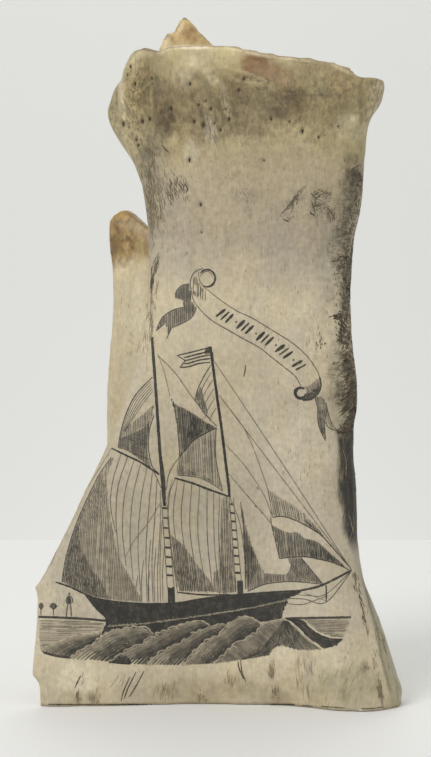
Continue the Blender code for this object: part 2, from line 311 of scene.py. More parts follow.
# Pores: across, down, radius in pixels
PORES = table("""
130.2 66.4 1.3; 135.4 84.1 1.4; 123 124.3 1.9; 143 121.4 1.6; 150.2 119 1.4; 152.6 78.4 0.8
190 84.1 1.3; 194.3 121.9 1.5; 203.4 125.3 1.8; 211 109 1.4; 214.4 123.4 1.1; 220.6 130 1.2
244 79.3 1.3; 238.8 90.3 1.1; 170.3 109 1.7; 189.5 160.2 1.8; 225.8 109 1; 229.2 119.5 1.4
198.6 105.2 0.9; 205.7 101.3 0.9; 200.9 204.5 1.6; 302.7 131.4 1.7; 271.2 119 1.3; 289.6 121.6 1
264 160.5 1.1; 319 137.4 0.9; 338.5 126.5 0.8; 127 75 0.9; 136 140 1; 138.3 145.4 0.9; 187 253 0.8
201 232 0.7""")
PORE_DEPTH = 0.0009

LIP_LINE = corners("222,71 234,74 245,78 258,82 270,86 285,92 300,97 322,99 345,97")
CORNER_CREASE = corners("364,80 361,88 360,100 362,112")
FRONT_GROOVE = corners("152,66 153,80 156,100 163,124 172,134")
LIP_STEP, LIP_GROOVE = 0.00035, 0.00026
CREASE_DEPTH, GROOVE_DEPTH = 0.0005, 0.0004
# Waves of the whole surface: size, seed, height, and the share of it that the picture's smooth ground loses
WAVES = (0.022, 21, 0.00030, 0), (0.0075, 22, 0.00012, 0.6), (0.0025, 23, 0.00005, 0.85)
RIM_GRAIN, RIM_GRAIN_HEIGHT = ((0.0009, 0.0009, 0.010), 31), 0.00012  # size and seed; upright, below the rim
WEAR_DEPTH, PIT_DEPTH = 0.00025, 0.00070
STRIP_DEPTH, STRIP_GRAIN_DEPTH = 0.00035, 0.00018
FLAT_FOOT = 0.004, 0.0015  # heights over which the relief ends above the sawn foot
# Pixels over which these rise and fall
PICTURE_TOP, PICTURE_RIGHT = (240, 300), (352, 335)
LIP_LEFT, LIP_RIGHT = (214, 236), (340, 352)
RIM_GRAIN_DOWN = (84, 104), (128, 150)
RIM_GRAIN_ACROSS = (150, 190), (250, 300)


def relief(places, normals, across, down, facing, wear):
    """Metres that each vertex stands out from the plain bone."""
    front = smooth_step(0.0, 0.3, facing)
    picture = front * smooth_step(*PICTURE_TOP, down) * smooth_step(*PICTURE_RIGHT, across)
    up = sum(rough_noise(places, size, seed) * height * (1 - lost * picture)
             for size, seed, height, lost in WAVES)
    for x, y, radius in PORES:
        up -= PORE_DEPTH * front * bell(np.hypot(across - x, (down - y) / 1.6), radius * 0.7)
    above = smooth_step(0, 5, np.interp(across, *np.array(LIP_LINE).T) - down)
    on_lip = window(across, LIP_LEFT, LIP_RIGHT)
    below_lip = bell(from_line(across, down, LIP_LINE), 2.0)
    up += front * on_lip * (LIP_STEP * above - LIP_GROOVE * below_lip)
    up -= front * CREASE_DEPTH * bell(from_line(across, down, CORNER_CREASE), 1.3)
    up -= front * GROOVE_DEPTH * bell(from_line(across, down, FRONT_GROOVE), 1.8)
    grain = noise(places, *RIM_GRAIN) * window(down, *RIM_GRAIN_DOWN) * window(across, *RIM_GRAIN_ACROSS)
    up += front * RIM_GRAIN_HEIGHT * grain
    strip = smooth_step(WEAR_STRIP - 6, WEAR_STRIP + 6, down)
    pits = smooth_step(0.10, 0.55, rough_noise(places, 0.0018, 33, 2))
    up -= wear * (1 - strip) * (PIT_DEPTH * pits + WEAR_DEPTH)
    up -= wear * strip * (STRIP_DEPTH + STRIP_GRAIN_DEPTH * noise(places, *STRIP_GRAIN))
    flat_foot = smooth_step(-0.5, -0.85, normals[:, 2]) * smooth_step(*FLAT_FOOT, places[:, 2])
    return up * (1 - flat_foot)


# Colours of the bone, with painted shade and highlights among them, from 0 to 255 on a screen

# Bone by height, darker under the rim from painted shade together with dirt, and lighter at the rim's edge as
# a painted highlight: down, and its colour there on the front, from the rim to the foot
BONE_AND_SHADE_BY_HEIGHT = table("""
45 186 171 132; 75 159 144 105; 105 147 132 94; 140 168 153 116; 175 168 154 127; 235 164 151 129
300 190 177 149; 400 180 168 144; 500 171 160 138; 600 181 170 148; 660 194 181 154; 705 180 167 139""")
SPINE_BODY, SPINE_TIP, SPINE_BROWN = (191, 177, 145), (148, 120, 70), (96, 72, 38)
PEAK_TAN = (208, 182, 132)
SOCKET_TAN, SOCKET_BROWN = (150, 130, 94), (112, 90, 60)
BACK_BONE, BACK_BROWN = (170, 152, 116), (126, 103, 68)
WEAR_DARK, WEAR_GREY, STRIP_DARK = (70, 63, 46), (118, 112, 90), (27, 28, 29)
PALE_EDGE = (360, 200, 3.6, 26, 8), (158, 148, 120), 0.75  # oval, colour and strength, over the wear
# The side facet low on the thick border, darkened as painted shade, with a pale line along its ridge and a
# dark line at its edge
FACET_PAINTED_SHADE, FACET_EDGE, FACET_RIDGE = (160, 154, 124), (78, 72, 54), (192, 183, 156)
FACET_LINE = corners("361,571 370.7,609 377.6,632 381,655 386.8,678 390.8,692")
FACET_TOP = 566, 590  # pixels down over which the facet sets in
FACET_RIDGE_INWARD, FACET_RIDGE_WIDTH, FACET_EDGE_WIDTH = 5, 2.6, 0.9  # pixels
PORE_DIRT = (58, 42, 22)

# Stains of the front. The dark ones under the rim are dirt and painted shade together. There is also painted
# shade in the groove beside the front lobe, below the lip line and on the peak's right slope, and painted
# highlights along the rim's top edge, on the lip and on a bright spot of the rim: x, y, half width, half
# height, degrees turned, red, green, blue, strength
FRONT_STAINS_AND_PAINTED_LIGHT = table("""
205 108 66 34 8 112 96 65 0.61; 165 89 10 12 0 116 103 78 0.6; 156 92 3 20 0 104 92 66 0.6
166 122 11 18 -4 84 70 44 0.84; 289 104 20 15 -6 106 88 58 0.66; 302 116 16 8 0 126 112 82 0.45
294 97 11 7 0 96 78 50 0.45; 250 92 22 9 14 112 96 66 0.45; 232 100 10 16 -20 110 95 66 0.45
280 110 8 8 20 98 82 56 0.4; 257 66 24 11 16 122 89 53 0.77; 249 65 10 6 14 126 90 54 0.5
266 56.5 14 2.2 10 120 92 56 0.55; 280 75 22 10 12 146 120 88 0.6; 239 76.5 12 2.4 24 108 90 62 0.55
250 74.5 20 1.5 22 180 163 126 0.5; 328 95 26 1.4 3 126 110 78 0.4; 212 78 5 18 -38 186 171 136 0.5
227 104 3.5 18 -12 176 163 132 0.4; 213 130 5 20 -6 176 166 140 0.35; 198 100 1 10 -6 184 170 134 0.6
206 124 1.5 26 -4 178 170 148 0.6; 211.5 128 1 22 -5 188 178 150 0.6
227.5 110 1 12 -16 192 180 146 0.65; 222 104 0.9 10 -20 178 164 128 0.5
241 112 1.2 9 -24 174 160 126 0.45; 202 118 1 16 -4 104 90 60 0.5; 216.5 122 1 14 -10 100 86 56 0.55
233 112 1 12 -20 104 90 62 0.5; 318 66 26 8 10 156 134 98 0.4; 346 82 16 14 0 160 136 96 0.45
186 62 20 13 -12 190 174 138 0.44; 192 60 8 6 20 206 192 160 0.45; 184 46.8 29 2.2 1 226 213 184 0.8
237 49.3 24 1.6 12 216 202 168 0.6; 290 59.2 30 1.6 7 212 198 164 0.55
341 69 16 1.6 24 206 192 156 0.5; 303 62.6 16 1.2 8 116 100 70 0.5; 163 52 9 5 0 206 190 156 0.5
166 42 7 4 0 208 188 152 0.6; 165 36.5 6 1.8 -8 126 122 112 0.75; 177 25 4 8 32 218 196 148 0.6
190 35 9 9 30 160 126 80 0.8; 202 35 12 2.6 43 150 120 84 0.75; 172.5 40 1.3 6 -36 146 114 72 0.7
176 30 1.2 9 34 140 118 84 0.6; 184.5 18.5 4 2.4 0 112 102 76 0.7; 180 78 14 10 30 188 174 144 0.35
145 62 9 7 0 160 141 96 0.65; 145 69 5 4 0 138 104 58 0.5; 145 76 8 5 0 150 120 90 0.5
136 96 11 26 0 162 143 96 0.6; 122 97 3.5 24 -3 204 188 150 0.75; 113 108 7 24 0 148 136 108 0.6
160 160 12 20 -30 138 127 104 0.5; 151.3 84 1.8 28 0 192 177 140 0.6; 160 145 24 13 30 130 117 90 0.55
149 188 13 36 -9 112 104 82 0.72; 172 190 15 10 8 118 110 88 0.5; 168 205 20 40 -8 152 141 118 0.4
154 271 2.6 14 12 104 102 92 0.6; 151.5 300 2.4 24 0 140 136 118 0.5; 151 235 5 20 0 124 117 104 0.45
245 198 10 9 0 146 136 117 0.35; 192 152 9 12 0 190 182 164 0.4; 322 205 16 18 35 120 114 94 0.45
293 203 14 7 -52 134 127 108 0.4; 351 158 9 12 0 122 110 76 0.55; 355 178 8 9 -20 62 58 44 0.7
349 200 6 22 0 100 95 78 0.5; 340 238 9 14 10 118 111 90 0.5; 347 284 7 42 0 92 86 66 0.52
351 404 7 32 0 64 64 58 0.6; 361 195 2.5 26 6 160 150 122 0.7; 352 140 12 18 0 172 158 116 0.45
376 95 10 26 14 196 183 150 0.7; 350 128 15 15 0 190 176 140 0.7; 362 100 3 22 0 122 108 78 0.5
328 270 13 60 0 146 140 122 0.5; 335 385 12 46 0 132 126 108 0.45; 225 330 60 30 28 184 172 148 0.3
132 530 20 62 6 160 152 130 0.55; 200 530 22 56 0 164 155 134 0.55; 276 545 16 20 0 172 162 140 0.35
300 450 34 40 0 192 181 158 0.45; 70 610 34 50 0 186 175 151 0.4; 80 678 28 14 0 212 200 174 0.78
300 560 40 34 0 184 173 150 0.3; 309 672 6 24 0 158 152 136 0.55; 298 664 3 5 0 140 122 88 0.45
332 676 12 5 -50 168 160 132 0.4; 271 671 3 8 0 112 94 64 0.6; 276 695 5 8 0 104 88 60 0.6
163 694 3.5 9 4 124 106 74 0.55; 171 690 3 12 4 150 134 100 0.45; 203 699 6 5 0 128 110 78 0.5
212 692 78 15 0 150 136 106 0.55; 345 696 4 7 8 128 114 82 0.5; 78 699 4 5 0 112 102 80 0.5
94 698 7 7 0 134 124 98 0.5; 364 667 3 5 10 96 78 48 0.65; 380.5 692 3.5 11 -14 116 104 76 0.5
345 684 34 18 0 150 144 113 0.56""")
STAIN_RAGGEDNESS, STAIN_FRAYING, STAIN_MOTTLING = 0.55, 0.22, 0.8

# Stains of the spine, as above
SPINE_STAINS = table("""
121 215 12 6 0 172 134 66 0.75; 139 226 8 8 40 166 146 100 0.45; 118 240 9 13 0 116 90 50 0.6
141 246 5 16 0 154 138 92 0.55; 117 228 2.4 2.4 0 78 58 32 0.85; 112 239 1.8 2.2 0 86 64 36 0.75
123 240 1.8 2.2 0 86 64 36 0.75; 123 249 2.2 2.2 0 90 68 38 0.75; 133 248 1.6 1.6 0 90 68 38 0.75
139 260 5 6 20 160 146 100 0.6; 130 272 1.2 5 28 136 120 84 0.6; 122 274 12 8 0 202 187 151 0.45
111 286 4 24 0 184 160 118 0.45; 110 345 4 40 0 184 162 122 0.4; 116 405 8 26 10 168 152 120 0.4
138 310 7 50 2 206 194 166 0.5""")

# Ovals with a strength: pale and dark fibres down the bone, fine dark specks, and fine upright scratches
FIBROUS_PLACES = table("""
215 112 34 46 -8 0.34; 150 190 16 44 -9 0.24; 272 112 40 30 0 0.1; 154 285 4 40 0 0.14
352 480 10 70 0 0.2""")
SPECKED_PLACES = table("""
322 207 15 20 35 0.45; 293 203 20 7 -52 0.40; 137 80 16 34 0 0.25
318 345 16 24 0 0.20""")
SCRATCHED_PLACES = table("""
160 205 22 48 -10 0.50; 225 125 60 28 0 0.28; 153 275 7 34 0 0.35; 345 490 12 60 0 0.1
384 690 12 20 10 0.5; 300 678 40 28 0 0.35; 140 300 8 30 0 0.08""")
FIBRE_LEAN = 0.2  # metres across for each metre up
SPECKED_ROWS, CLEANER_ROWS = ((60, 90), (130, 160)), (250, 330)  # pixels down with more and with fewer specks
UNDER_RIM = (44, 60), (135, 165)  # pixels down between which the bone is streaked all over
WARM_PATCHES = np.array((0.020, 0.004, -0.050))  # how far red, green and blue swing from patch to patch
# Patches lighter and darker than the rest: size, seed, strength
LIGHT_PATCHES = ((0.011, 0.011, 0.016), 48, 0.09), (0.0055, 50, 0.07)

# The spine behind: metres of its free part, as (least depth Y, greatest X)
SPINE_DEPTH, SPINE_ACROSS = 0.006, -0.021
SPINE_TOP = 0.163
PEAK_STARTS, PEAK_DEPTH = 0.2135, 0.008
SPINE_LEFT = -0.026, -0.031  # X between which the spine's tip turns browner
SOCKET_FLOOR_UP = 0.35  # how much of its normal points up on the hollow of the socket
SOCKET_HOLLOW = 0.190, 0.196  # heights over which the hollow's colour sets in


def painted(colour, tone, share):
    """Lays a tone over colours, each by its own share."""
    return colour + (paint(*tone) - colour) * share[:, None]


def lay_stains_and_painted_light(colour, stains, where, across, down, ragged, mottling, core):
    """Lays a table of ragged, mottled ovals over colours: stains, and painted shade and highlights."""
    for *oval, red, green, blue, strength in stains:
        share = strength * where * smooth_step(1.35, core, in_oval(across, down, oval) + ragged)
        colour = painted(colour, (red, green, blue), np.clip(share * mottling, 0, 1))
    return colour


def one_tone(tone, count):
    return np.tile(paint(*tone), (count, 1))


def bone_and_shade_by_height(places, down):
    """Bone from the rim to the foot, darker under the rim from painted shade together with dirt, and with a
    painted highlight at the rim's edge.
    """
    rows = [row for row, *_ in BONE_AND_SHADE_BY_HEIGHT]
    tones = np.array([paint(*tone) for _, *tone in BONE_AND_SHADE_BY_HEIGHT])
    level = down + rough_noise(places, 0.012, 41) * 16
    return np.stack([np.interp(level, rows, tones[:, k]) for k in range(3)], axis=1)


def with_facet_shade(colour, across, down, front):
    """The side facet of the thick border low down, darkened as painted shade, with a pale line along its
    ridge and a dark line at its edge.
    """
    lower = front * smooth_step(*FACET_TOP, down)
    facet = smooth_step(-1.5, 2.0, across - np.interp(down, *np.array(FACET_LINE)[:, ::-1].T)) * lower
    ridge = bell(from_line(across + FACET_RIDGE_INWARD, down, FACET_LINE), FACET_RIDGE_WIDTH)
    edge = bell(from_line(across, down, FACET_LINE), FACET_EDGE_WIDTH)
    colour = painted(colour, FACET_PAINTED_SHADE, facet * 0.75)
    colour = painted(colour, FACET_RIDGE, 0.55 * lower * ridge)
    return painted(colour, FACET_EDGE, 0.70 * lower * edge)


def spine_and_tip(places):
    """How much of each place is the spine's free part, and how much its brown tip."""
    spine = smooth_step(SPINE_DEPTH - 0.003, SPINE_DEPTH + 0.002, places[:, 1])
    spine *= smooth_step(SPINE_ACROSS + 0.004, SPINE_ACROSS - 0.004, places[:, 0])
    spine *= 1 - smooth_step(SPINE_TOP + 0.002, SPINE_TOP + 0.006, places[:, 2])
    high = places[:, 2] + rough_noise(places, 0.004, 44) * 0.005
    return spine, spine * smooth_step(SPINE_TOP - 0.020, SPINE_TOP - 0.014, high)


def with_tip(colour, places, tip):
    colour = painted(colour, SPINE_TIP, tip * 0.9)
    lumps = rough_noise(places, 0.0024, 45) + 0.5 * rough_noise(places, 0.0011, 57, 2)
    mottled = smooth_step(-0.15, 0.45, lumps)
    leftward = smooth_step(*SPINE_LEFT, places[:, 0])
    return painted(colour, SPINE_BROWN, tip * mottled * (0.40 + 0.35 * leftward))


def with_wear(colour, places, down, wear):
    """The dark grey weathering of the thick border, darkest along its strip."""
    strip = smooth_step(WEAR_STRIP - 8, WEAR_STRIP + 4, down)
    patches = smooth_step(-0.35, 0.45, rough_noise(places, (0.003, 0.003, 0.0045), 47))
    dark = painted(painted(one_tone(WEAR_GREY, len(places)), WEAR_DARK, patches), STRIP_DARK, strip)
    share = wear * (0.38 + 0.46 * patches * (1 - strip) + 0.58 * strip)
    return colour + (dark - colour) * share[:, None]


def lightness(places, across, down, front, tip, hollow):
    """How much lighter or darker each place is than its colour, from patches, streaks and fibres."""
    light = sum(strength * rough_noise(places, size, seed) for size, seed, strength in LIGHT_PATCHES)
    light += 0.035 * noise(places, (0.0020, 0.0020, 0.016), 52) * (1 - hollow)
    light += 0.30 * tip * rough_noise(places, 0.0011, 58, 2)
    light += 0.15 * front * window(down, *UNDER_RIM) * rough_noise(places, 0.0022, 55, 2)
    leaning = places + places[:, 2:] * (FIBRE_LEAN, 0, 0)
    fibrous = front * within(FIBROUS_PLACES, across, down, 1.3, 0.3)
    return light + fibrous * rough_noise(leaning, (0.0011, 0.0011, 0.012), 56, 2)


def bone_colours(places, normals, across, down, facing, wear):
    """The linear colour of each vertex, with painted shade under the rim, in grooves and on the border's
    facet, and painted highlights along the rim.
    """
    front = smooth_step(-0.05, 0.25, facing)
    blotches = smooth_step(-0.25, 0.65, rough_noise(places, (0.016, 0.016, 0.030), 42))
    behind = painted(one_tone(BACK_BONE, len(places)), BACK_BROWN, blotches * 0.55)
    # Bone by height on the front, with painted shade under the rim and a painted highlight at its edge
    colour = behind + (bone_and_shade_by_height(places, down) - behind) * front[:, None]
    peak = smooth_step(PEAK_STARTS - 0.001, PEAK_STARTS + 0.001, places[:, 2]) * (places[:, 1] > PEAK_DEPTH)
    colour = painted(colour, PEAK_TAN, peak)

    ragged = rough_noise(places, (0.006, 0.006, 0.009), 43) * STAIN_RAGGEDNESS
    ragged += rough_noise(places, 0.0026, 53) * STAIN_FRAYING
    mottling = 1 + STAIN_MOTTLING * rough_noise(places, 0.0015, 54, 2)
    # Stains, with dirt and painted shade under the rim, painted shade in the lobe's groove, below the lip and
    # on the peak's slope, and painted highlights along the rim
    colour = lay_stains_and_painted_light(colour, FRONT_STAINS_AND_PAINTED_LIGHT, front, across, down, ragged, mottling, 0.45)
    for x, y, radius in PORES:
        ring = bell(np.hypot(across - x, (down - y) / 1.8), radius * 0.75)
        colour = painted(colour, PORE_DIRT, 0.75 * front * ring)
    # Painted shade on the side facet of the border
    colour = with_facet_shade(colour, across, down, front)

    spine, tip = spine_and_tip(places)
    colour = with_tip(painted(colour, SPINE_BODY, spine * 0.85), places, tip)
    colour = lay_stains_and_painted_light(colour, SPINE_STAINS, spine, across, down, ragged, mottling, 0.4)

    hollow = smooth_step(SOCKET_FLOOR_UP, 0.7, normals[:, 2]) * smooth_step(*SOCKET_HOLLOW, places[:, 2])
    hollow *= 1 - peak
    worn = smooth_step(0.05, 0.6, rough_noise(places, 0.010, 46))
    colour = painted(painted(colour, SOCKET_TAN, hollow * 0.8), SOCKET_BROWN, hollow * worn * 0.6)

    colour = with_wear(colour, places, down, wear)
    oval, tone, strength = PALE_EDGE
    colour = painted(colour, tone, strength * front * smooth_step(1.3, 0.5, in_oval(across, down, oval)))
    warm = rough_noise(places, (0.013, 0.013, 0.024), 49)[:, None] * WARM_PATCHES
    light = lightness(places, across, down, front, tip, hollow)
    return colour * (1 + warm) * (1 + light)[:, None]


def grime(places, across, down, facing, wear):
    """How much of each place fine dark specks cover."""
    front = smooth_step(0.0, 0.3, facing)
    amount = 0.10 + 0.10 * rough_noise(places, 0.010, 51)
    amount += 0.22 * front * window(down, *SPECKED_ROWS)
    amount -= 0.05 * front * smooth_step(*CLEANER_ROWS, down)
    amount += 0.35 * (1 - smooth_step(-0.2, 0.2, facing))
    amount += 0.55 * wear * (1 - smooth_step(WEAR_STRIP - 8, WEAR_STRIP + 4, down))
    return np.clip(amount + front * within(SPECKED_PLACES, across, down, 1.2, 0.3), 0, 1)


def streaks(across, down, facing):
    """How much of each place fine upright dark scratches cover."""
    amount = 0.03 + 0.25 * (1 - smooth_step(-0.2, 0.2, facing))
    amount += smooth_step(0.0, 0.3, facing) * within(SCRATCHED_PLACES, across, down, 1.2, 0.2)
    return np.clip(amount, 0, 1)


def add_colour(mesh, name, colours):
    layer = mesh.color_attributes.new(name, "FLOAT_COLOR", "POINT")
    layer.data.foreach_set("color", np.column_stack((np.clip(colours, 0, 1), np.ones(len(colours)))).ravel())


def add_amount(mesh, name, amounts):
    layer = mesh.attributes.new(name, "FLOAT", "POINT")
    layer.data.foreach_set("value", amounts)


def make_bone():
    bone = even_mesh(frame["nodes"]["whale_bone"])
    mesh = bone.data
    smoothed(mesh, SMOOTHING_ROUNDS, (SHRINK, REGROW))
    smoothed(mesh, PLATE_SMOOTHING_ROUNDS, (SHRINK,), flatness(mesh))
    refined(mesh, fine_places(mesh))
    smoothed(mesh, 2, (SHRINK, REGROW))
    places, normals = places_of(mesh), normals_of(mesh)
    across, down = seen_at(places)
    facing = turned_to_camera(places, normals)
    wear = wear_on_border(places, across, down)
    put_back(mesh, places + normals * relief(places, normals, across, down, facing, wear)[:, None])
    add_colour(mesh, "bone_colour", bone_colours(places, normals, across, down, facing, wear))
    add_amount(mesh, "grime", grime(places, across, down, facing, wear))
    add_amount(mesh, "streaks", streaks(across, down, facing))
    add_amount(mesh, "wear", wear * (1 - 0.85 * smooth_step(WEAR_STRIP - 8, WEAR_STRIP + 4, down)))
    mesh.shade_smooth()
    mesh.materials.clear()
    mesh.materials.append(bone_material())
    return bone


# Materials

class Nodes:
    """Short ways to add and join shader nodes."""

    def __init__(self, name):
        self.material = bpy.data.materials.new(name)
        self.material.use_nodes = True
        self.tree = self.material.node_tree
        self.shader = self.tree.nodes["Principled BSDF"]

    def join(self, value, socket):
        if isinstance(value, bpy.types.NodeSocket):
            self.tree.links.new(value, socket)
        else:
            socket.default_value = value

    def add(self, kind, settings=None, **inputs):
        node = self.tree.nodes.new(kind)
        for key, value in (settings or {}).items():
            setattr(node, key, value)
        for key, value in inputs.items():
            self.join(value, node.inputs[key])
        return node

    def worked(self, operation, first, second, clamp=False):
        node = self.add("ShaderNodeMath", {"operation": operation, "use_clamp": clamp})
        self.join(first, node.inputs[0])
        self.join(second, node.inputs[1])
        return node.outputs[0]

    def plus(self, first, second):
        return self.worked("ADD", first, second)

    def minus(self, first, second):
        return self.worked("SUBTRACT", first, second)

    def times(self, first, second):
        return self.worked("MULTIPLY", first, second)

    def between(self, value, low, high, to_low=0.0, to_high=1.0):
        node = self.add("ShaderNodeMapRange", {"interpolation_type": "SMOOTHSTEP"})
        for key, setting in (("Value", value), ("From Min", low), ("From Max", high),
                             ("To Min", to_low), ("To Max", to_high)):
            self.join(setting, node.inputs[key])
        return node.outputs["Result"]

    def noise(self, size, stretch=(1, 1, 1), detail=3.0, roughness=0.55):
        """Noise with lumps of a size in metres, stretched along X, Y and Z."""
        place = self.add("ShaderNodeTexCoord").outputs["Object"]
        mapping = self.add("ShaderNodeMapping", Vector=place, Scale=tuple(1 / (size * s) for s in stretch))
        texture = self.add("ShaderNodeTexNoise", Vector=mapping.outputs[0], Scale=1.0, Detail=detail,
                           Roughness=roughness)
        return texture.outputs["Fac"]

    def mix(self, share, first, second, blend="MIX"):
        node = self.add("ShaderNodeMix", {"data_type": "RGBA", "blend_type": blend})
        self.join(share, node.inputs["Factor"])
        self.join(first, node.inputs[6])
        self.join(second, node.inputs[7])
        return node.outputs[2]

    def amount(self, name):
        return self.add("ShaderNodeAttribute", {"attribute_name": name}).outputs["Fac"]

    def colour(self, name):
        return self.add("ShaderNodeAttribute", {"attribute_name": name}).outputs["Color"]

    def grey(self, value):
        return self.add("ShaderNodeCombineColor", Red=value, Green=value, Blue=value).outputs[0]

    def bump(self, height, distance):
        node = self.add("ShaderNodeBump", Height=height, Distance=distance, Strength=1.0)
        self.join(node.outputs[0], self.shader.inputs["Normal"])

    def tinted(self, share, colour, tone):
        """A colour with a tone from 0 to 255 laid over a share of it."""
        return self.mix(share, colour, (*paint(*tone), 1))


# Sizes of the noise in the bone's material, in metres
MOTTLE, GRAIN, SPECK, SCRATCH = 0.0016, 0.00045, 0.00050, 0.00042
WORN, STRIATED, HUE, COMB = 0.0022, 0.0008, 0.010, 0.00075
SPECK_COLOUR, SCRATCH_COLOUR = (62, 50, 32), (62, 54, 42)
PIT_COLOUR, FLECK_COLOUR = (28, 24, 16), (166, 154, 124)
COOL_TINT, WARM_TINT = (0.99, 1.0, 1.02, 1), (1.012, 1.0, 0.955, 1)
BONE_BUMP, INK_BUMP = 0.00006, 0.00002


def bone_material():
    n = Nodes("old_polished_bone")
    colour = n.colour("bone_colour")
    mottle = n.noise(MOTTLE, detail=4)
    grain = n.noise(GRAIN, (1, 1, 7), detail=2)
    speck = n.noise(SPECK, detail=1.5)
    scratch = n.noise(SCRATCH, (1, 1, 9), detail=1.5)
    fine = n.plus(n.between(mottle, 0.25, 0.75, -0.10, 0.10), n.between(grain, 0.3, 0.7, -0.05, 0.05))
    worn = n.between(n.noise(WORN, detail=6, roughness=0.72), 0.36, 0.64, -0.62, 0.46)
    striated = n.between(n.noise(STRIATED, (1, 1, 8), detail=3), 0.36, 0.64, -0.34, 0.30)
    fine = n.plus(fine, n.times(n.plus(worn, striated), n.amount("grime")))
    colour = n.mix(1.0, colour, n.grey(n.plus(fine, 1.0)), "MULTIPLY")
    hue = n.between(n.noise(HUE, (1, 1, 2), detail=4), 0.32, 0.68)
    colour = n.mix(1.0, colour, n.mix(hue, COOL_TINT, WARM_TINT), "MULTIPLY")
    grime_edge = n.minus(0.86, n.times(n.amount("grime"), 0.50))
    dirt = n.between(n.minus(speck, grime_edge), -0.03, 0.07)
    colour = n.tinted(n.times(dirt, 0.70), colour, SPECK_COLOUR)
    streak_edge = n.minus(0.84, n.times(n.amount("streaks"), 0.42))
    lines = n.between(n.minus(scratch, streak_edge), -0.02, 0.08)
    colour = n.tinted(n.times(lines, 0.70), colour, SCRATCH_COLOUR)
    comb = n.noise(COMB, (3.6, 3.6, 1), detail=4, roughness=0.6)
    pits = n.times(n.between(comb, 0.50, 0.60), n.amount("wear"))
    flecks = n.times(n.between(comb, 0.44, 0.34), n.amount("wear"))
    colour = n.tinted(n.times(pits, 0.85), colour, PIT_COLOUR)
    colour = n.tinted(n.times(flecks, 0.45), colour, FLECK_COLOUR)
    n.join(colour, n.shader.inputs["Base Color"])
    marks = n.worked("MAXIMUM", n.worked("MAXIMUM", dirt, lines), pits)
    rough = n.plus(n.between(mottle, 0.3, 0.7, 0.36, 0.50), n.times(marks, 0.25))
    n.join(rough, n.shader.inputs["Roughness"])
    n.bump(n.minus(n.times(n.plus(mottle, grain), 0.5), marks), BONE_BUMP)
    return n.material


def plain_material(name, colour, roughness):
    material = bpy.data.materials.new(name)
    material.use_nodes = True
    shader = material.node_tree.nodes["Principled BSDF"]
    shader.inputs["Base Color"].default_value = (*colour, 1)
    shader.inputs["Roughness"].default_value = roughness
    return material


# Ink: strokes are drawn in the photograph's pixels and cast onto the bone from the photograph's camera

PEN_STEP = 1.6  # pixels between the points of a stroke
TONE_LIFT, INK_LIFT, RIM_LIFT = 0.00002, 0.00007, 0.00011  # metres that tones, lines and pale rims stand off
INK_KEEL = 0.00018  # metres that their keel lies below its surface
LEAST_WIDTH = 0.25  # pixels
DEPTH_JUMP = 0.0015  # metres between two neighbouring points that break a stroke
WIDTH_SWING, FADE_SWING = 0.12, 0.08  # a hand's unevenness, as shares
PIECE_SWING = 0.6, 1.4  # shortest and longest piece of a broken stroke, as shares of its usual length
TONE_SPACING, TONE_WIDTH, LONG_PIECE = 1.7, 2.1, 60  # pixels


def through(corners, count=None):
    """Evenly spaced points on a smooth curve through the corners."""
    line = np.array(corners, float)
    if len(line) > 2:
        padded = np.vstack((2 * line[0] - line[1], line, 2 * line[-1] - line[-2]))
        t = np.linspace(0, 1, 12, endpoint=False)[:, None]
        parts = [(2 * b + (c - a) * t + (2 * a - 5 * b + 4 * c - d) * t ** 2
                  + (3 * b - a - 3 * c + d) * t ** 3) / 2
                 for a, b, c, d in zip(padded, padded[1:], padded[2:], padded[3:])]
        line = np.vstack(parts + [line[-1:]])
    length = np.append(0, np.cumsum(np.hypot(*np.diff(line, axis=0).T)))
    wanted = np.linspace(0, length[-1], count or max(2, round(length[-1] / PEN_STEP) + 1))
    return np.column_stack([np.interp(wanted, length, line[:, k]) for k in (0, 1)])


def outlined(*sides):
    """One outline made of smooth sides."""
    return np.vstack([through(side) for side in sides])


def crossings(u, v, row):
    """Where a row cuts a closed outline, from left to right."""
    next_u, next_v = np.roll(u, -1), np.roll(v, -1)
    cut = (v <= row) != (next_v <= row)
    share = (row - v[cut]) / (next_v[cut] - v[cut])
    return np.sort(u[cut] + share * (next_u[cut] - u[cut]))


def inside(points, outline):
    return np.array([np.sum(crossings(outline[:, 0], outline[:, 1], y) < x) % 2 == 1 for x, y in points])


def runs(keep):
    """The stretches of an array of True and False that are True."""
    edges = np.flatnonzero(np.diff(np.concatenate(([False], keep, [False])).astype(int)))
    return zip(edges[::2], edges[1::2])


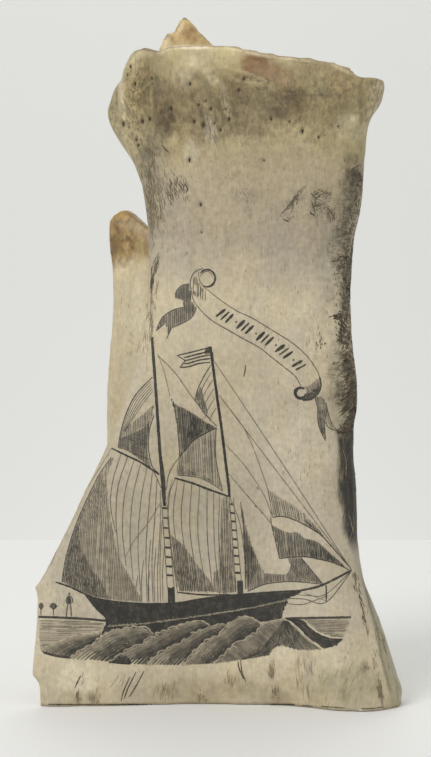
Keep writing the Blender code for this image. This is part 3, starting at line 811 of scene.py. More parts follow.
class Pen:
    """Collects the strokes of one piece, with a hand's unevenness."""

    def __init__(self, name, seed):
        self.name = name
        self.random = np.random.default_rng(seed)
        self.lift = INK_LIFT
        self.strokes = []

    def lay(self, points, width, fade=0.1, taper=0.3):
        if len(points) > 1:
            share = np.linspace(-1, 1, len(points))
            uneven = 1 + WIDTH_SWING * self.random.standard_normal(len(points))
            widths = np.maximum(width * (1 - taper * share ** 4) * uneven, LEAST_WIDTH)
            faded = np.clip(fade + self.random.uniform(-FADE_SWING, FADE_SWING), 0, 1)
            self.strokes.append((points, widths, faded, self.lift))

    def line(self, corners, width, fade=0.1, taper=0.3):
        self.lay(through(corners), width, fade, taper)

    def broken(self, points, width, fade=0.2, piece=12, present=1.0, outline=None):
        """A stroke in pieces, some of them left out, and nothing outside an outline."""
        keep = np.ones(len(points), bool) if outline is None else inside(points, outline)
        for first, last in runs(keep):
            while first < last - 1:
                end = first + max(2, round(piece / PEN_STEP * self.random.uniform(*PIECE_SWING)))
                if self.random.random() < present:
                    self.lay(points[first:min(end + 1, last)], width, fade)
                first = end

    def hatch(self, outline, degrees, spacing, width, fade=0.2, piece=18, present=1.0, ragged=1.0,
              uneven=0.25):
        """Nearly parallel strokes that fill an outline."""
        turn = math.radians(degrees)
        along = np.array((math.cos(turn), math.sin(turn)))
        beside = np.array((-math.sin(turn), math.cos(turn)))
        u, v = outline @ along, outline @ beside
        row = v.min() + spacing / 2
        while row < v.max():
            cuts = crossings(u, v, row)
            for low, high in zip(cuts[::2], cuts[1::2]):
                low += ragged * self.random.uniform(-0.3, 1)
                high -= ragged * self.random.uniform(-0.3, 1)
                if high - low > PEN_STEP:
                    slip = spacing * uneven * self.random.uniform(-1, 1, 2)
                    ends = (low * along + (row + slip[0]) * beside, high * along + (row + slip[1]) * beside)
                    self.broken(through(ends), width, fade, piece, present)
            row += spacing * (1 + uneven * self.random.uniform(-1, 1))

    def tone(self, outline, fade, degrees=90):
        """Broad soft strokes that leave hardly any bone bare between them."""
        self.lift = TONE_LIFT
        self.hatch(outline, degrees, TONE_SPACING, TONE_WIDTH, fade, LONG_PIECE, 1.0, 0.6, 0.08)
        self.lift = INK_LIFT

    def ruled(self, first, last, count, width, fade=0.2, piece=30, present=1.0, outline=None):
        """Strokes that turn evenly from one guide curve into another."""
        length = max(np.hypot(*np.diff(through(guide), axis=0).T).sum() for guide in (first, last))
        points = max(3, round(length / PEN_STEP))
        start, end = through(first, points), through(last, points)
        for k in range(count):
            share = (k + 0.5 + self.random.uniform(-0.25, 0.25)) / count
            self.broken(start * (1 - share) + end * share, width, fade, piece, present, outline)


# Drawings as rows of text, in pixels: "name: strokes | side | side". A side is a row of corners, or the first
# side of an earlier row: by its name, as <name to run it backwards, or as name@across,down to move it.
# The strokes are, with their numbers:
#   shape, which only names its sides
#   line: width, fade, taper; rim, a pale line: width, fade, piece, present
#   tone: fade, degrees; hatch: degrees, spacing, width, fade, piece, present, ragged, uneven
#   blend, a line between two sides: share of the way from the first to the second, width, fade
#   arc: how many corners, width, fade, taper; its side is the middle, the two radii and the turns in radians
#     where it starts and ends

def side_of(text, rows):
    """The corners of a side of a row."""
    name, _, shift = text.lstrip("<").partition("@")
    if name not in rows:
        return corners(text)
    side = rows[name][0]
    if shift:
        (across, down), = corners(shift)
        side = [(x + across, y + down) for x, y in side]
    return side[::-1] if text.startswith("<") else side


def arc(middle, radii, turns, count):
    return [(middle[0] + radii[0] * math.cos(t), middle[1] + radii[1] * math.sin(t))
            for t in np.linspace(*turns, count)]


def make_strokes(pen, kind, values, sides):
    if kind == "line":
        for side in sides:
            pen.line(side, *values)
    elif kind == "rim":
        pen.lift = RIM_LIFT
        pen.broken(through(sides[0]), *values)
        pen.lift = INK_LIFT
    elif kind == "tone":
        pen.tone(outlined(*sides), *values)
    elif kind == "hatch":
        pen.hatch(outlined(*sides), *values)
    elif kind == "blend":
        first, last = np.array(sides)
        pen.line(first * (1 - values[0]) + last * values[0], *values[1:])
    elif kind == "arc":
        pen.line(arc(*sides[0], round(values[0])), *values[1:])


def draw(pen, text, rows=None):
    """Draws rows of text, and gives the sides of each row by its name."""
    rows = dict(rows or {})
    for row in text.replace("\n ", " ").splitlines():
        name, rest = row.split(": ")
        strokes, *sides = rest.split(" | ")
        sides = [side_of(side, rows) for side in sides]
        rows[name] = sides
        for stroke in strokes.split("; "):
            kind, *values = stroke.split()
            make_strokes(pen, kind, [float(value) for value in values], sides)
    return rows


HULL = """\
top: shape | 84.5,594 95,597.7 110,600.7 132,603 155,603.7 179,602.6 200,599 222,596 245,594 275,591.7
 306,590
stern: shape | 101.5,635 107,620 97,609.5 84.5,594
stripe: shape | 108,626 134,624 155,621.7 177,618.7 200,615.7 222,612 245,608.6 266,604.2 287,599.4
upper: tone 0.05 92; hatch -4 1.5 0.8 0 24 0.9; hatch 60 2.6 0.7 0.1 12 0.7 | top | 306,590 296,595
 288,598.5 | <stripe | 108,626 104,617 97,609.5 84.5,594
lower: tone 0.05 92; hatch -4 1.5 0.8 0 24 0.9; hatch 60 2.6 0.7 0.1 12 0.7 | stripe@0,0.8 | 288,601.5
 284,609 282,618.5 | 282,618.5 262,622 249,617.5 236,619 226,625 210,627 200,622 184,624 168,631
 155,637 146,629 128,629 112,631 101.5,635 | 101.5,635 107,620
deck_edge: line 1.5 0 | top
stern_edge: line 1.3 0 | stern
pale_stripe: rim 1 0.62 26 1 | stripe@0,0.4
ports: line 1.6 0 | 234,601 234.5,606 | 258,601 258.5,606
bow_edge: line 0.7 0.4 | 284.5,603 281.5,610 280.7,618"""

MASTS = """\
main_mast: shape | 152,337 155.6,387 159.3,442 163,491 164.6,506
fore_mast: shape | 210.3,346.5 216.4,392 222.6,437 227.8,480 229.6,497
masts: line 1.6 0.05 0.1 | main_mast@-0.7,0 | fore_mast@-0.56,0 | main_mast | fore_mast |
 main_mast@0.7,0 | fore_mast@0.56,0"""
SPARS = """\
aft_mast_foot: line 3 0.1 | 160.5,455 163.6,480 164.6,502
fore_mast_foot: line 2.6 0.1 | 225,460 228.3,482 229.6,496
main_gaff: line 1.9 0.05 | 111.5,448.2 126.7,455.6 141,462.5 159.4,474.6
fore_gaff: line 2 0.05 | 174.5,478 192,483 209,489.5 228,496.2
main_boom: line 1.7 0.05 | 55.6,582 70,587 84.5,594
fore_boom: line 1.5 0.05 | 177,592.2 203,594.8 231,594.6
bowsprit: line 2.2 0.05 | 300,590.6 318,586.6 334,579.5 351.5,570
dolphin_striker: line 1.4 0.05 | 326,585 326.3,593 326.2,602"""
# Lower masts: top and foot of the left and the right edge, first and last rung, gap between the rungs
LOWER_MASTS = (((161.6, 503), (167.4, 588), (167.2, 504.5), (174.2, 588), 508, 582, 9.3),
               ((229.2, 497), (235.4, 581), (233.4, 498), (241.4, 581), 504, 573, 8.5))
MAST_STEPS = """\
aft_step: hatch 88 0.8 1.1 0.05 | 167.6,587 174.4,587 | 174.9,603 168.1,603
fore_step: hatch 88 0.8 1.1 0.05 | 237.6,580 242.6,580 | 243.1,595 238.1,595"""


def draw_hull_and_spars(pen):
    draw(pen, HULL)
    draw(pen, MASTS)
    draw(pen, SPARS)
    for left_top, left_foot, right_top, right_foot, height, last, gap in LOWER_MASTS:
        pen.line((left_top, left_foot), 0.8, 0.3)
        pen.line((right_top, right_foot), 0.8, 0.3)
        while height < last:
            share = (height - left_top[1]) / (left_foot[1] - left_top[1])
            left = left_top[0] + share * (left_foot[0] - left_top[0])
            right = right_top[0] + share * (right_foot[0] - right_top[0])
            pen.line(((left + 0.4, height), (right - 0.4, height + 0.3)), 1.9, 0.05, 0.0)
            height += gap + pen.random.uniform(-0.7, 0.7)
    draw(pen, MAST_STEPS)


# Mainsail with fine upright strokes towards its free edge and few seams at the mast; its topsail's edges
MAINSAIL = """\
free_edge: shape | 111.5,457 99.5,474 87.5,498 77,522 68,549 63.5,570 62,582
shade_edge: shape | 114,458 108,474 107.5,495 112,526 117,551 127,572 142,599
free_line: line 1 0.2 | free_edge
shaded: tone 0.79; hatch 93 1.8 0.62 0.35 18 0.95 | free_edge | 62,582 84.5,593 110,599.5 142,602 |
 <shade_edge
darkest: tone 0.61; hatch 84 1.6 0.7 0.2 14 0.95 | 92,496 84,512 79,530 80,543 87.5,562 99.5,579
 110,600 | 110,600 84.5,594 62.7,582 | 63,575 69,547 78,521 92,496
low_corner: hatch 100 2 0.7 0.2 10 0.8 | 77,531 70,546 63,581 | 63,581 84,592 96,596 | 90,578 80,560
 77,531
high_shade: hatch 112 2 0.55 0.4 9 0.8 | 108,462 96,484 86,505 | 88,520 100,520 106,500 107,476 108,462
seams: line 0.75 0.35 | 121,454 113,480 110.5,505 115.5,532 | 127.5,457 118,487 116,520 119,556 |
 134,460 125,492 122.5,530 126,566 | 140.5,463.5 133,496 130,536 133,580 | 147,467 141,500 138,545
 141,600 | 152.5,471 149,505 146,550 147,601 | 157,478 155,515 152,560 153,602 | 160.4,490 160,530
 157.5,570 158,602
low_seams: line 0.7 0.35 | 143.5,560 141.5,581 142,602 | 150.5,540 148.5,571 149,602 | 156,548 154,575
 154.5,602 | 162,520 160,561 160.5,602 | 164.5,545 162.5,573.5 163,602 | 138,575 136,588.5 136.5,602 |
 150,570 148,586 148.5,602
crease: line 0.7 0.4 | 161,502 148,523 134,541 125,558
top_edge: shape | 152.5,377 143,386.5 134.3,397 126.7,412.4 121.3,430 118,448
top_inner: shape | 154.5,392 148,400 140,411 133,420 128,427 125,432
top_line: line 1.2 0.15 | top_edge"""
# Lines along the topsail: share of the way from its edge, width
TOPSAIL_LINES = (0.16, 0.7), (0.33, 0.6), (0.5, 0.7), (0.68, 0.6), (0.86, 0.6)
# Main topsail's grey middle and dark foot, a dark staysail above a light one, fore topsail and foresail
OTHER_SAILS = """\
top_grey: tone 0.78; hatch 92 1.8 0.65 0.3 12 0.95 | 154.5,404 143,414 131,423 121,431 | 119.5,438
 130,434 141,429 151,423 | 152,416 154.5,404
top_foot: tone 0.52; hatch 92 1.5 0.75 0.15 12 0.95; hatch 20 3 0.6 0.2 7 0.6 | 119.5,438 130,434
 141,429 150,421 | 148.5,432 147,448 149,461 151,468 | 143,462 135,456 127,451 118.5,448.5
top_luff: line 0.9 0.15 | 154,415 149.5,430 148.5,448 152,466 158.5,473
top_rope: line 0.8 0.3 | 151,468 154,472 158,481 161,488
dark: tone 0.51; hatch 86 1.4 0.8 0.08 14 0.95 | 170.1,396.2 174.4,411.3 177.1,427.6 178.8,444
 178.8,458 | 185.3,449.3 194,440.6 202.6,435.2 216.7,427.6 | 206,422 195,414.6 184,408 176,404.5
 170.1,396.2
dark_middle: hatch 92 1.6 1.1 0 10 0.8 | 194,416 206,423 212,428 | 200,434 190,442 | 186,430 194,416
dark_foot: line 1.3 0.05 | 178.8,458 193,441 205,433.6 216.7,427.6
light: tone 0.81; hatch 87 2.1 0.62 0.33 26 0.97 | 178.8,458 193,441 205,434 216.7,427.6 | 215.6,438.5
 215.6,455 217.8,471 222.7,490.6 | 211.3,483 199.4,477.5 187.4,475.6 177.1,475
low_light: tone 0.67; hatch 80 2 0.65 0.3 8 0.85 | 178,461 190,470 205,476 219,484 | 211,482 199,477
 187,475 177.1,475 178,461
light_edge: line 0.9 0.25 | 216.7,427.6 215.6,438.5 215.6,455 217.8,471 222.7,490.6
light_foot: line 0.8 0.2 | 177.1,475.4 187.4,475.9 199.4,477.9 211.3,483.4 222.7,491
stay: line 0.8 0.35 | 178.8,458 172.3,466.7 168,477.6 166.4,490
fore_top_edge: line 0.9 0.2 | 210.8,365 203,378 197.5,390 195,400
fore_top_foot: line 0.9 0.25 | 195,400 205,414 216.7,426
fore_top_lines: line 0.7 0.35 | 211.5,372 204.3,384 199.5,396 | 212.5,380 205.3,392 200.5,404 |
 213.6,389 206.4,401 201.6,413 | 214.7,398 208.46,408.4 204.3,418.8 | 216,408 212.16,414.4 209.6,420.8
top_corner: tone 0.63 75; hatch 80 1.4 0.7 0.2 9 0.95 | 200.5,386 197,393 195,400 | 204,412 208,414 |
 205,402 200.5,386
fore_edge: line 0.9 0.3 | 175,479 169.5,494 168,519 170,540 174.4,570 177.4,592
fore_seams: line 0.75 0.35 | 177.4,480 173.5,520 183,586 | 184.2,481.5 181.5,525 192,592 | 191.7,484
 190,530 199,592 | 199.6,487 198,535 206.5,593 | 207,490 207.5,540 213,593 | 213.4,492 214.5,545
 219.5,594 | 219.5,494.5 219,545 226,594
low_left: tone 0.67 86; hatch 84 1.7 0.7 0.22 12 0.92 | 170.5,534 184,546 196,563 208,578 216,592 |
 179,591 174.5,570 170.5,534
low_left_dark: hatch 95 2.2 0.7 0.2 9 0.8 | 183,560 200,578 214,592 | 180,591.5 177,575 183,560
band: tone 0.73 88; hatch 88 1.9 0.65 0.25 18 0.92 | 222,498 228.4,497 230,525 234,565 236.6,592 |
 224,593 219,562 220.5,525 222,498
low_right: tone 0.74 86; hatch 86 1.9 0.65 0.25 9 0.85 | 214,572 226,566 234,575 236.5,592 | 224,594
 214,590 214,572"""
# A dark inner jib, a dark middle one and a hatched outer one, with bare bellies between them
JIBS = """\
inner: tone 0.65; hatch 84 1.8 0.7 0.25 12 0.95 | 240.5,502 246,526 252,545 258,561 264.5,573 |
 275,573.8 287,573.5 290,566 288.5,558 | 301,557.6 312,571 322.5,584 | 309,582.2 296,581.4 281,582
 264.6,584.2 247.5,591.5 | 245.5,580 244.5,555 243,527 240.5,502
inner_dark: tone 0.49; hatch 90 1.5 0.8 0.05 12 0.9 | 243.5,528 249,540 256,556 | 256,575 248,588 |
 245,565 243.5,528
clew: tone 0.56 45; hatch 45 1.8 0.7 0.2 9 0.85 | 290,562 302,559 320,582 | 304,580 293,573 290,562
inner_edge: line 0.9 0.2 | 240.5,502 243.5,528 245,560 245.5,589
inner_foot: line 0.9 0.15 | 247.5,591.5 264.6,584.4 281,582.1 296,581.6 322.5,584.3
clew_line: line 1 0.1 | 301,557.6 312,571 324,585.5
middle: tone 0.6 84; hatch 84 1.6 0.75 0.18 14 0.95 | 271.5,525 280,529 289,532.5 297,532 305,538
 318,542 330,553 349,570 | 334,563 322,559 309,557.2 295,556.8 280,558.5 | 277.5,545 271.5,525
luff: tone 0.52 78; hatch 78 1.8 0.75 0.1 10 0.85 | 304,538 318,543 332,555 349,570 | 330,562 311,557
 304,538
middle_edge: line 1 0.15 | 270.6,517 272,527 276,543 279.5,558.5
middle_foot: line 1.1 0.1 | 279.5,558.5 295,557 311,557.4 334,563 350,570.5
outer: tone 0.84 80; hatch 80 1.9 0.65 0.3 14 0.92 3 | 266,486 275,494 287,501 298,508 309,519 322,533
 333,548 | 322,535 311.8,528.6 297.5,521 284,516.4 272.6,517 | 271.5,505 266,486
outer_dark: hatch 70 1.5 0.8 0.1 8 0.85 | 300,517 312,524 325,537 | 340,558 322,536.5 311.8,529 300,517
outer_foot: line 1.1 0.1 | 272.6,517.4 283,516.4 297.5,521.2 311.8,529 324,538 351,569"""


def draw_sails(pen):
    rows = draw(pen, MAINSAIL)
    edge, inner = (through(rows[name][0], 30) for name in ("top_edge", "top_inner"))
    for share, width in TOPSAIL_LINES:
        pen.lay((edge * (1 - share) + inner * share)[1:27], width, 0.35)
    draw(pen, OTHER_SAILS)
    draw(pen, JIBS)


RIGGING = """\
outer_stay: line 0.8 0.45 0.2 | 213.5,360 282,463 351,569.5
middle_stay: line 0.85 0.4 0.2 | 219,395 285,482 351,568.5
inner_sheet: line 0.75 0.45 0.2 | 219.5,396 246,432 264,478 270,500 271.5,516
fore_stay: line 0.7 0.45 0.2 | 226,445 245,466 264,495 272,517
fore_lift: line 0.8 0.4 0.2 | 229,474 246,494 266,517 274,528
inner_stay: line 0.75 0.35 0.2 | 229.5,496 240,524 245,560
topmast_stay: line 0.7 0.5 0.2 | 157.5,354 163.6,370 170,396
main_stay: line 0.8 0.4 0.2 | 158.5,356 176,374 194,399.5 216,426
truss: line 0.6 0.5 0.2 | 165.5,507 172,480
brace: line 0.7 0.5 0.2 | 111.5,448.5 95,475.5 77,505.5 62,537 51,565
bobstay: line 0.9 0.3 0.2 | 287,598.5 304,599 326.2,602 351.5,571
bow_rope: line 0.7 0.3 0.2 | 292,594 308,595.5 326,594 351,571
bow_net: line 0.8 0.3 0.2 | 286,603.5 302,604.5 316,600 326.3,596
bow_loop: line 0.6 0.35 0.2 | 304,593 316,597 326.2,601
truck: line 0.8 0.3 0.2 | 212.7,352 213.5,360
blocks: line 1.2 0.3 | 245,466 246.5,468.5 | 257,487 258.5,489.5 | 261,511 262.5,513.5 | 255,505
 256.5,507.5"""
# A plain swallowtail
PENNANT = """\
upper: shape | 210.6,347 200,350 188,353 177,355.5
lower: shape | 180,367.6 189,366.6 199,363.5 210,362.4
pennant_edges: line 1.3 0.1 | upper | lower
pennant_ends: line 0.9 0.15 | 177,355.5 185.5,360.5 | 185.5,360.5 180,367.6
stripes: blend 0.27 1.5 0.12; blend 0.51 1.5 0.12; blend 0.75 1.5 0.12 | 210.6,347 200,350 188,353
 184,354.2 | 210,362.4 199,363.5 189,366.6 184,366.8
hoist: hatch 98 0.9 1 0.05 | 210.6,347 205,348.6 | 205.4,355 210.5,353.6"""
# An upright figure and the stems of two bushes
SHORE = """\
head: line 2.4 0.25 | 69.3,592.6 69.4,595
body: line 3.6 0.25 | 69,595.5 69.2,604
left_leg: line 1.2 0.25 | 67.8,604 67,610 66.4,616.6
right_leg: line 1.3 0.25 | 70.3,604 71,610 71.4,616.8
arms_and_trunk: line 0.9 0.25 | 67.4,596.5 66.2,600.5 67.2,604 | 71,596.3 72.6,600 71.4,603.4 |
 53.3,608 53.6,615.5
second_trunk: line 0.8 0.25 | 40.8,608 41,615.5"""
BUSHES = (53.4, 606.5, 4.2), (41.2, 606.5, 2.6)  # x, y, reach
BUSH_TWIGS, BUSH_HEIGHT = 9, 5.4
BUSH_TURNS = 200, 140  # degrees of the first twig, and from it to the last


def draw_rigging_and_shore(pen):
    draw(pen, RIGGING)
    draw(pen, PENNANT)
    draw(pen, SHORE)
    for x, y, reach in BUSHES:
        for k in range(BUSH_TWIGS):
            turn = math.radians(BUSH_TURNS[0] + BUSH_TURNS[1] * k / (BUSH_TWIGS - 1))
            tip = (x + reach * math.cos(turn), y + BUSH_HEIGHT * math.sin(turn) + 1.5)
            pen.line(((x, y + 3), tip), 1.1, 0.25)


# Sea, with the crests of the swells from their low left ends over their round tops
SEA = """\
left_horizon: line 1.8 0.1 | 38.5,616.5 60,617.3 84,618.5 106,620.5
left_below: line 1.2 0.2 | left_horizon@0,0.9
right_horizon: line 1.8 0.1 | 286,618 310,617.7 351,617
right_below: line 1.2 0.2 | right_horizon@0,0.9
water: shape | 40.5,648 44,655 59,657.4 71,658.6 103,661.7 130,664 160,665 200,664.5 217,663.3
 240,659.5 258,657.5 270,655 273,649.6 290,649 306,650.5 320,650 333,647 341,640 346,634 351,617 |
 351,617 283,617.5 | 262,617 249,615 236,617 226,623 210,624 200,620 184,622 168,629 155,634 146,626
 128,626 112,629 103,632 107,621 | 107,621 38.5,618 40.5,648
bow_crest: shape | 213,663.3 225,654.5 231,647.5 240,641.5 249,637.5 257.5,631.5 262,626 270.5,621.8
 284,619.8
crests: shape | 41,650 49.5,646.5 62,641.5 72,637.5 86,635 101,633 | 71,658.5 81,650.5 90.5,645.5
 99,639 109,632.5 122,629.5 135,627 147,629 153,634.5 | 109,662.5 119,655.5 130,649 140.5,645
 149,638.5 161.5,632.5 177,626.5 191,621.8 201,621 209,626 | 147,664.5 156,655.5 166.5,650 177,644.5
 187.5,638 198.5,631 209,626.5 225,625 | 182,665 191,656.5 199.5,646.5 211,639 222,632.5 228,624.5
 235.5,619 245,617 254,618.8 260,624.5 | bow_crest
wave_back: shape | 284,620 290.5,623 298,630 306.5,638.5 315,644.5 321.5,649.5"""
# The bow wave, dark under its crest, with foam at its foot
BOW_WAVE = """\
deepest: tone 0 5; hatch 5 0.9 1 0 | 108,662.5 113,658 119,655.5 126,656 131,660 | 131,664 120,663.8
 108,662.5
belly: tone 0.48 38 | bow_crest | wave_back | 308,650.3 297,649.8 290,648 283,646 277,646.5 272.5,650
 270,655 | 258,657.5 243,659.8 228,662 214,663.5
high_dark: tone 0.3 35 | 262,630 272,624 284,622 293,629 300,638 | 300,638 286,634 262,630
low_dark: tone 0.26 35 | 247,655 256,648 265,644 272,643 271,650 | 271,650 267,656 247,655
belly_guides: shape | 283,622 276,631 266,643 254,653 240,660 | wave_back"""
# The dark trough behind it
TROUGH = """\
pale_back: rim 1.2 0.9 30 1 | 290.5,623 298,630 306.5,638.5 315,644.5 321.5,649.5
rise: shape | 285,617.8 301,619.8 309.5,627 319,634 331,638 343.5,638.8
back: shape | wave_back@2,-1
trough: tone 0.34 40 | rise | 337,645.5 328,648 323,648.8 | <back"""
# Still water at either side
STILL_WATER = """\
far_dark: hatch 5 1.1 0.95 0 14 0.95 | 316,638 330,640 343,639.5 | 336,645.5 326,648 319,645 316,638
left_water: tone 0.9 1; hatch 1 1.6 0.55 0.4 14 0.88 3 | 39,620 70,620.5 105,622.5 | 102,630 86,633
 70,636.5 54,643 | 46,646 40,647.5 39,620
right_water: tone 0.86 2; hatch 2 1.5 0.6 0.28 16 0.88 3 | 304,619.5 325,619.5 350,619 | 346,633
 344,637 | 330,636 320,632.5 312,627 304,619.5
shore_guides: shape | 41,650.5 52,653.5 71,657 | 44,653.5 56,656.8 71,658.5"""
SWELL_POINTS, SWELL_TONES = 40, 10
SWELL_STROKE = 2.3  # pixels
SWELL_PALE, SWELL_DARKENS = 0.84, 0.68  # fade below the crest, and how much of it is gone at the trough
SWELL_OVERLAP = 3  # pixels that a swell reaches past the end of its crest
TROUGH_FOOT = (333, 646)
# Broken lines of a swell: shares of the way down where they begin and end, how many are present, fade
SWELL_LINES = (0.09, 0.35, 0.5, 0.46), (0.35, 0.70, 0.75, 0.26), (0.70, 0.98, 0.9, 0.10)
LOBE_LENGTH, LOBE_HEIGHT, LOBE_UNEVEN = 9.0, 1.3, 0.35


def scalloped(line):
    """A crest with a row of small round lobes along it."""
    run = np.gradient(line, axis=0)
    step = np.hypot(*run.T)
    outward = np.column_stack((run[:, 1], -run[:, 0])) / step[:, None]
    along = np.cumsum(step) / LOBE_LENGTH
    swing = np.abs(np.sin(math.pi * (along + LOBE_UNEVEN * np.sin(along))))
    return line + LOBE_HEIGHT * outward * swing[:, None]


def draw_rim(pen, crest, reach):
    """A pale ragged rim along a crest, frayed to the side that the crest faces."""
    pen.lift = RIM_LIFT
    rim = scalloped(through(crest))
    waver = np.convolve(pen.random.normal(0, 1.1, len(rim)), (0.25, 0.5, 0.25), "same")
    rim = rim + waver[:, None] * (0.5, 0.8)
    run = np.gradient(rim, axis=0)
    aside = np.column_stack((-run[:, 1], run[:, 0])) / np.hypot(*run.T)[:, None]
    pen.broken(rim, 1.3, 0.86, 8, 0.92)
    for place, way in zip(rim, aside):
        tip = place + way * pen.random.uniform(0.3, 1.0) * reach + (pen.random.uniform(0, 1.5), 0)
        pen.line((place, tip), 0.8, pen.random.uniform(0.55, 0.85), 0.8)
    pen.lift = INK_LIFT


def draw_swell(pen, crest, beyond, whole):
    """One swell, pale below its crest and dark in the trough before the next one."""
    near, far = through(crest, SWELL_POINTS), through(beyond, SWELL_POINTS)
    pen.lift = TONE_LIFT
    for k in range(SWELL_TONES):
        share = (k + 0.6) / SWELL_TONES
        fade = SWELL_PALE - SWELL_DARKENS * share ** 0.6
        pen.broken(near * (1 - share) + far * share, SWELL_STROKE, fade, LONG_PIECE, 1.0, whole)
    pen.lift = INK_LIFT
    for low, high, present, fade in SWELL_LINES:
        pen.ruled(near + (far - near) * low, near + (far - near) * high, 5, 0.7, fade, 6, present, whole)
    draw_rim(pen, crest, 3.5)


def draw_sea(pen):
    rows = draw(pen, SEA)
    water, crests = outlined(*rows["water"]), rows["crests"]
    for crest, following in zip(crests, crests[1:]):
        end = crest[-1][0] + SWELL_OVERLAP
        draw_swell(pen, crest, [corner for corner in following if corner[0] <= end], water)
    rows = draw(pen, BOW_WAVE, rows)
    pen.ruled(*rows["belly_guides"], 40, 0.7, 0.16, 7, 0.75, outlined(*rows["belly"]))
    draw_rim(pen, crests[-1], 3.0)
    rows = draw(pen, TROUGH, rows)
    beside = rows["back"][0] + [TROUGH_FOOT]
    pen.ruled(rows["rise"][0], beside, 11, 0.8, 0.04, 14, 0.92, outlined(*rows["trough"]))
    rows = draw(pen, STILL_WATER)
    pen.ruled(*rows["shore_guides"], 3, 1.1, 0.1)


# Banner: two edges, its left end rolled up into a ring with a tail in two points behind it, and its right
# end turned under, dark in its fold, with two ribbons that hang from it
BANNER = """\
upper: shape | 208,290 219,299 237,311 252,318 275,332 292.5,343 306,355 315,367 319,375.5 320,383
lower: shape | 190.5,288 195,303 210,319 228,330 242,338 260,348 270,356 284,367 295,376 301,386
upper_line: line 0.85 0.25 | upper
lower_line: line 0.95 0.25 | lower
ring: arc 24 2 0.1 0.6 | 207,278.2 8.2,8.6 -2.5,2.1
inner_ring: arc 16 0.7 0.35 | 206.6,278 6.2,6.6 -2.9,-0.2
roll_edge: line 0.9 0.2 | 190.5,288 190.4,281 193,274 197,270.5 203,268.6
roll_fold: line 0.7 0.35 | 198.5,271 199.5,280 204,287 209,291
roll_shade: hatch 92 1.5 0.75 0.25 9 0.9 | 191.5,281 196,276 199,282 203,290 | 200,297 195,297 192,291
 191.5,281
roll_foot: hatch 92 2.4 0.6 0.4 | 200,286 206,292 206,300 | 200,300 198,293 200,286
fold: tone 0.55; hatch 90 1.6 0.75 0.2 10 0.95 | 189,283.5 181,286 176,292 175.5,298 | 184,301 190,303
 | 191,295 189,283.5
tail: tone 0.62; hatch 90 1.9 0.8 0.2 16 0.98 | 184,307 172,310.5 162,318 156,331 | 165,323.5
 167.5,330 166.6,338.6 | 171.5,328 184,322.5 192,317 196.5,308 | 193,302 184,300 184,307
tail_edges: line 0.9 0.2 | 184,307 172,310.5 162,318 156,331 | 171.5,328 184,322.5 192,317 196.5,308 |
 189,283.5 181,286 176,292 175.5,298 | 184,300 184.5,308 | 156,331 165,323.5 | 166.6,338.6 171.5,328
under_ring: arc 26 3.2 0 0.5 | 300.8,393 5.6,5.3 -0.9,-5.7
crescent: tone 0.84 68; hatch 68 1.5 0.6 0.45 8 0.85 | 300,384.5 307,386.5 314,381 320.5,377 | 321,386
 318,394 311,399.5 303,400 | 305.5,395 306,390 300,384.5
crescent_dark: tone 0.48 62 | 306,393 311,389 316,384 321,380 | 321,386 318,394 311,399.5 305,400 |
 304.5,397 306,393
under: tone 0.05 -24; hatch -24 1 0.9 0 16 1 0.2 0.1 | 304,395 312,391.5 320.5,385 | 318,394 311,399.5
 303,401 | 301.5,399 304,395
under_edge: line 1.1 0.05 | 303,400.6 311,399.4 318,394 321,386 320.5,378
ribbon: tone 0.66 84; hatch 84 1.8 0.7 0.25 12 0.9 0.3 | 314.5,396.5 317.6,408 317.8,421 321,432
 325.5,441 | 325,432 324.6,422 327,411 326,403 321.5,396.5
ribbon_tip: tone 0.28 80 | 318,416 319,425 321.5,433 325.5,441 | 325,432 323.5,424 321,417 318,416
second_ribbon: hatch 62 1.7 0.6 0.4 | 326,407 328.5,414 332,424 337.5,432 | 330,428 325.5,420 326,407
ribbon_edges: line 0.85 0.2 | 314.5,396.5 317.6,408 317.8,421 321,432 325.5,441 | 325.5,441 325,432
 324.6,422 327,411 326,403 | 326,403 328.5,414 332,424 337.5,431 | 325,421 329,428 337.5,431"""
# Rows of plain strokes along it, which aren't letters
MARK_COUNT, MARK_FIRST, MARK_LAST = 18, 13, 51  # places counted among BANNER_POINTS
MARK_REACH, MARK_SLANT, MARK_WIDTHS = 5.9, 1.6, (3.1, 1.8, 2.6)
BANNER_POINTS = 60
MARK_DASH = (0.9, 0)  # half of a short dash


def draw_banner(pen):
    rows = draw(pen, BANNER)
    spine = (through(rows["upper"][0], BANNER_POINTS) + through(rows["lower"][0], BANNER_POINTS)) / 2
    run = np.gradient(spine, axis=0)
    run /= np.hypot(*run.T)[:, None]
    over = np.column_stack((-run[:, 1], run[:, 0])) * MARK_REACH
    for k, place in enumerate(np.linspace(MARK_FIRST, MARK_LAST, MARK_COUNT)):
        at = round(place)
        middle, slant = spine[at], run[at] * MARK_SLANT
        if k % 4 == 3:
            pen.line((middle - MARK_DASH, middle + MARK_DASH), 1.6, 0.1, 0.0)
        else:
            mark = (middle - over[at] + slant, middle, middle + over[at] - slant)
            pen.line(mark, MARK_WIDTHS[k % 4], 0.05, 0.6)


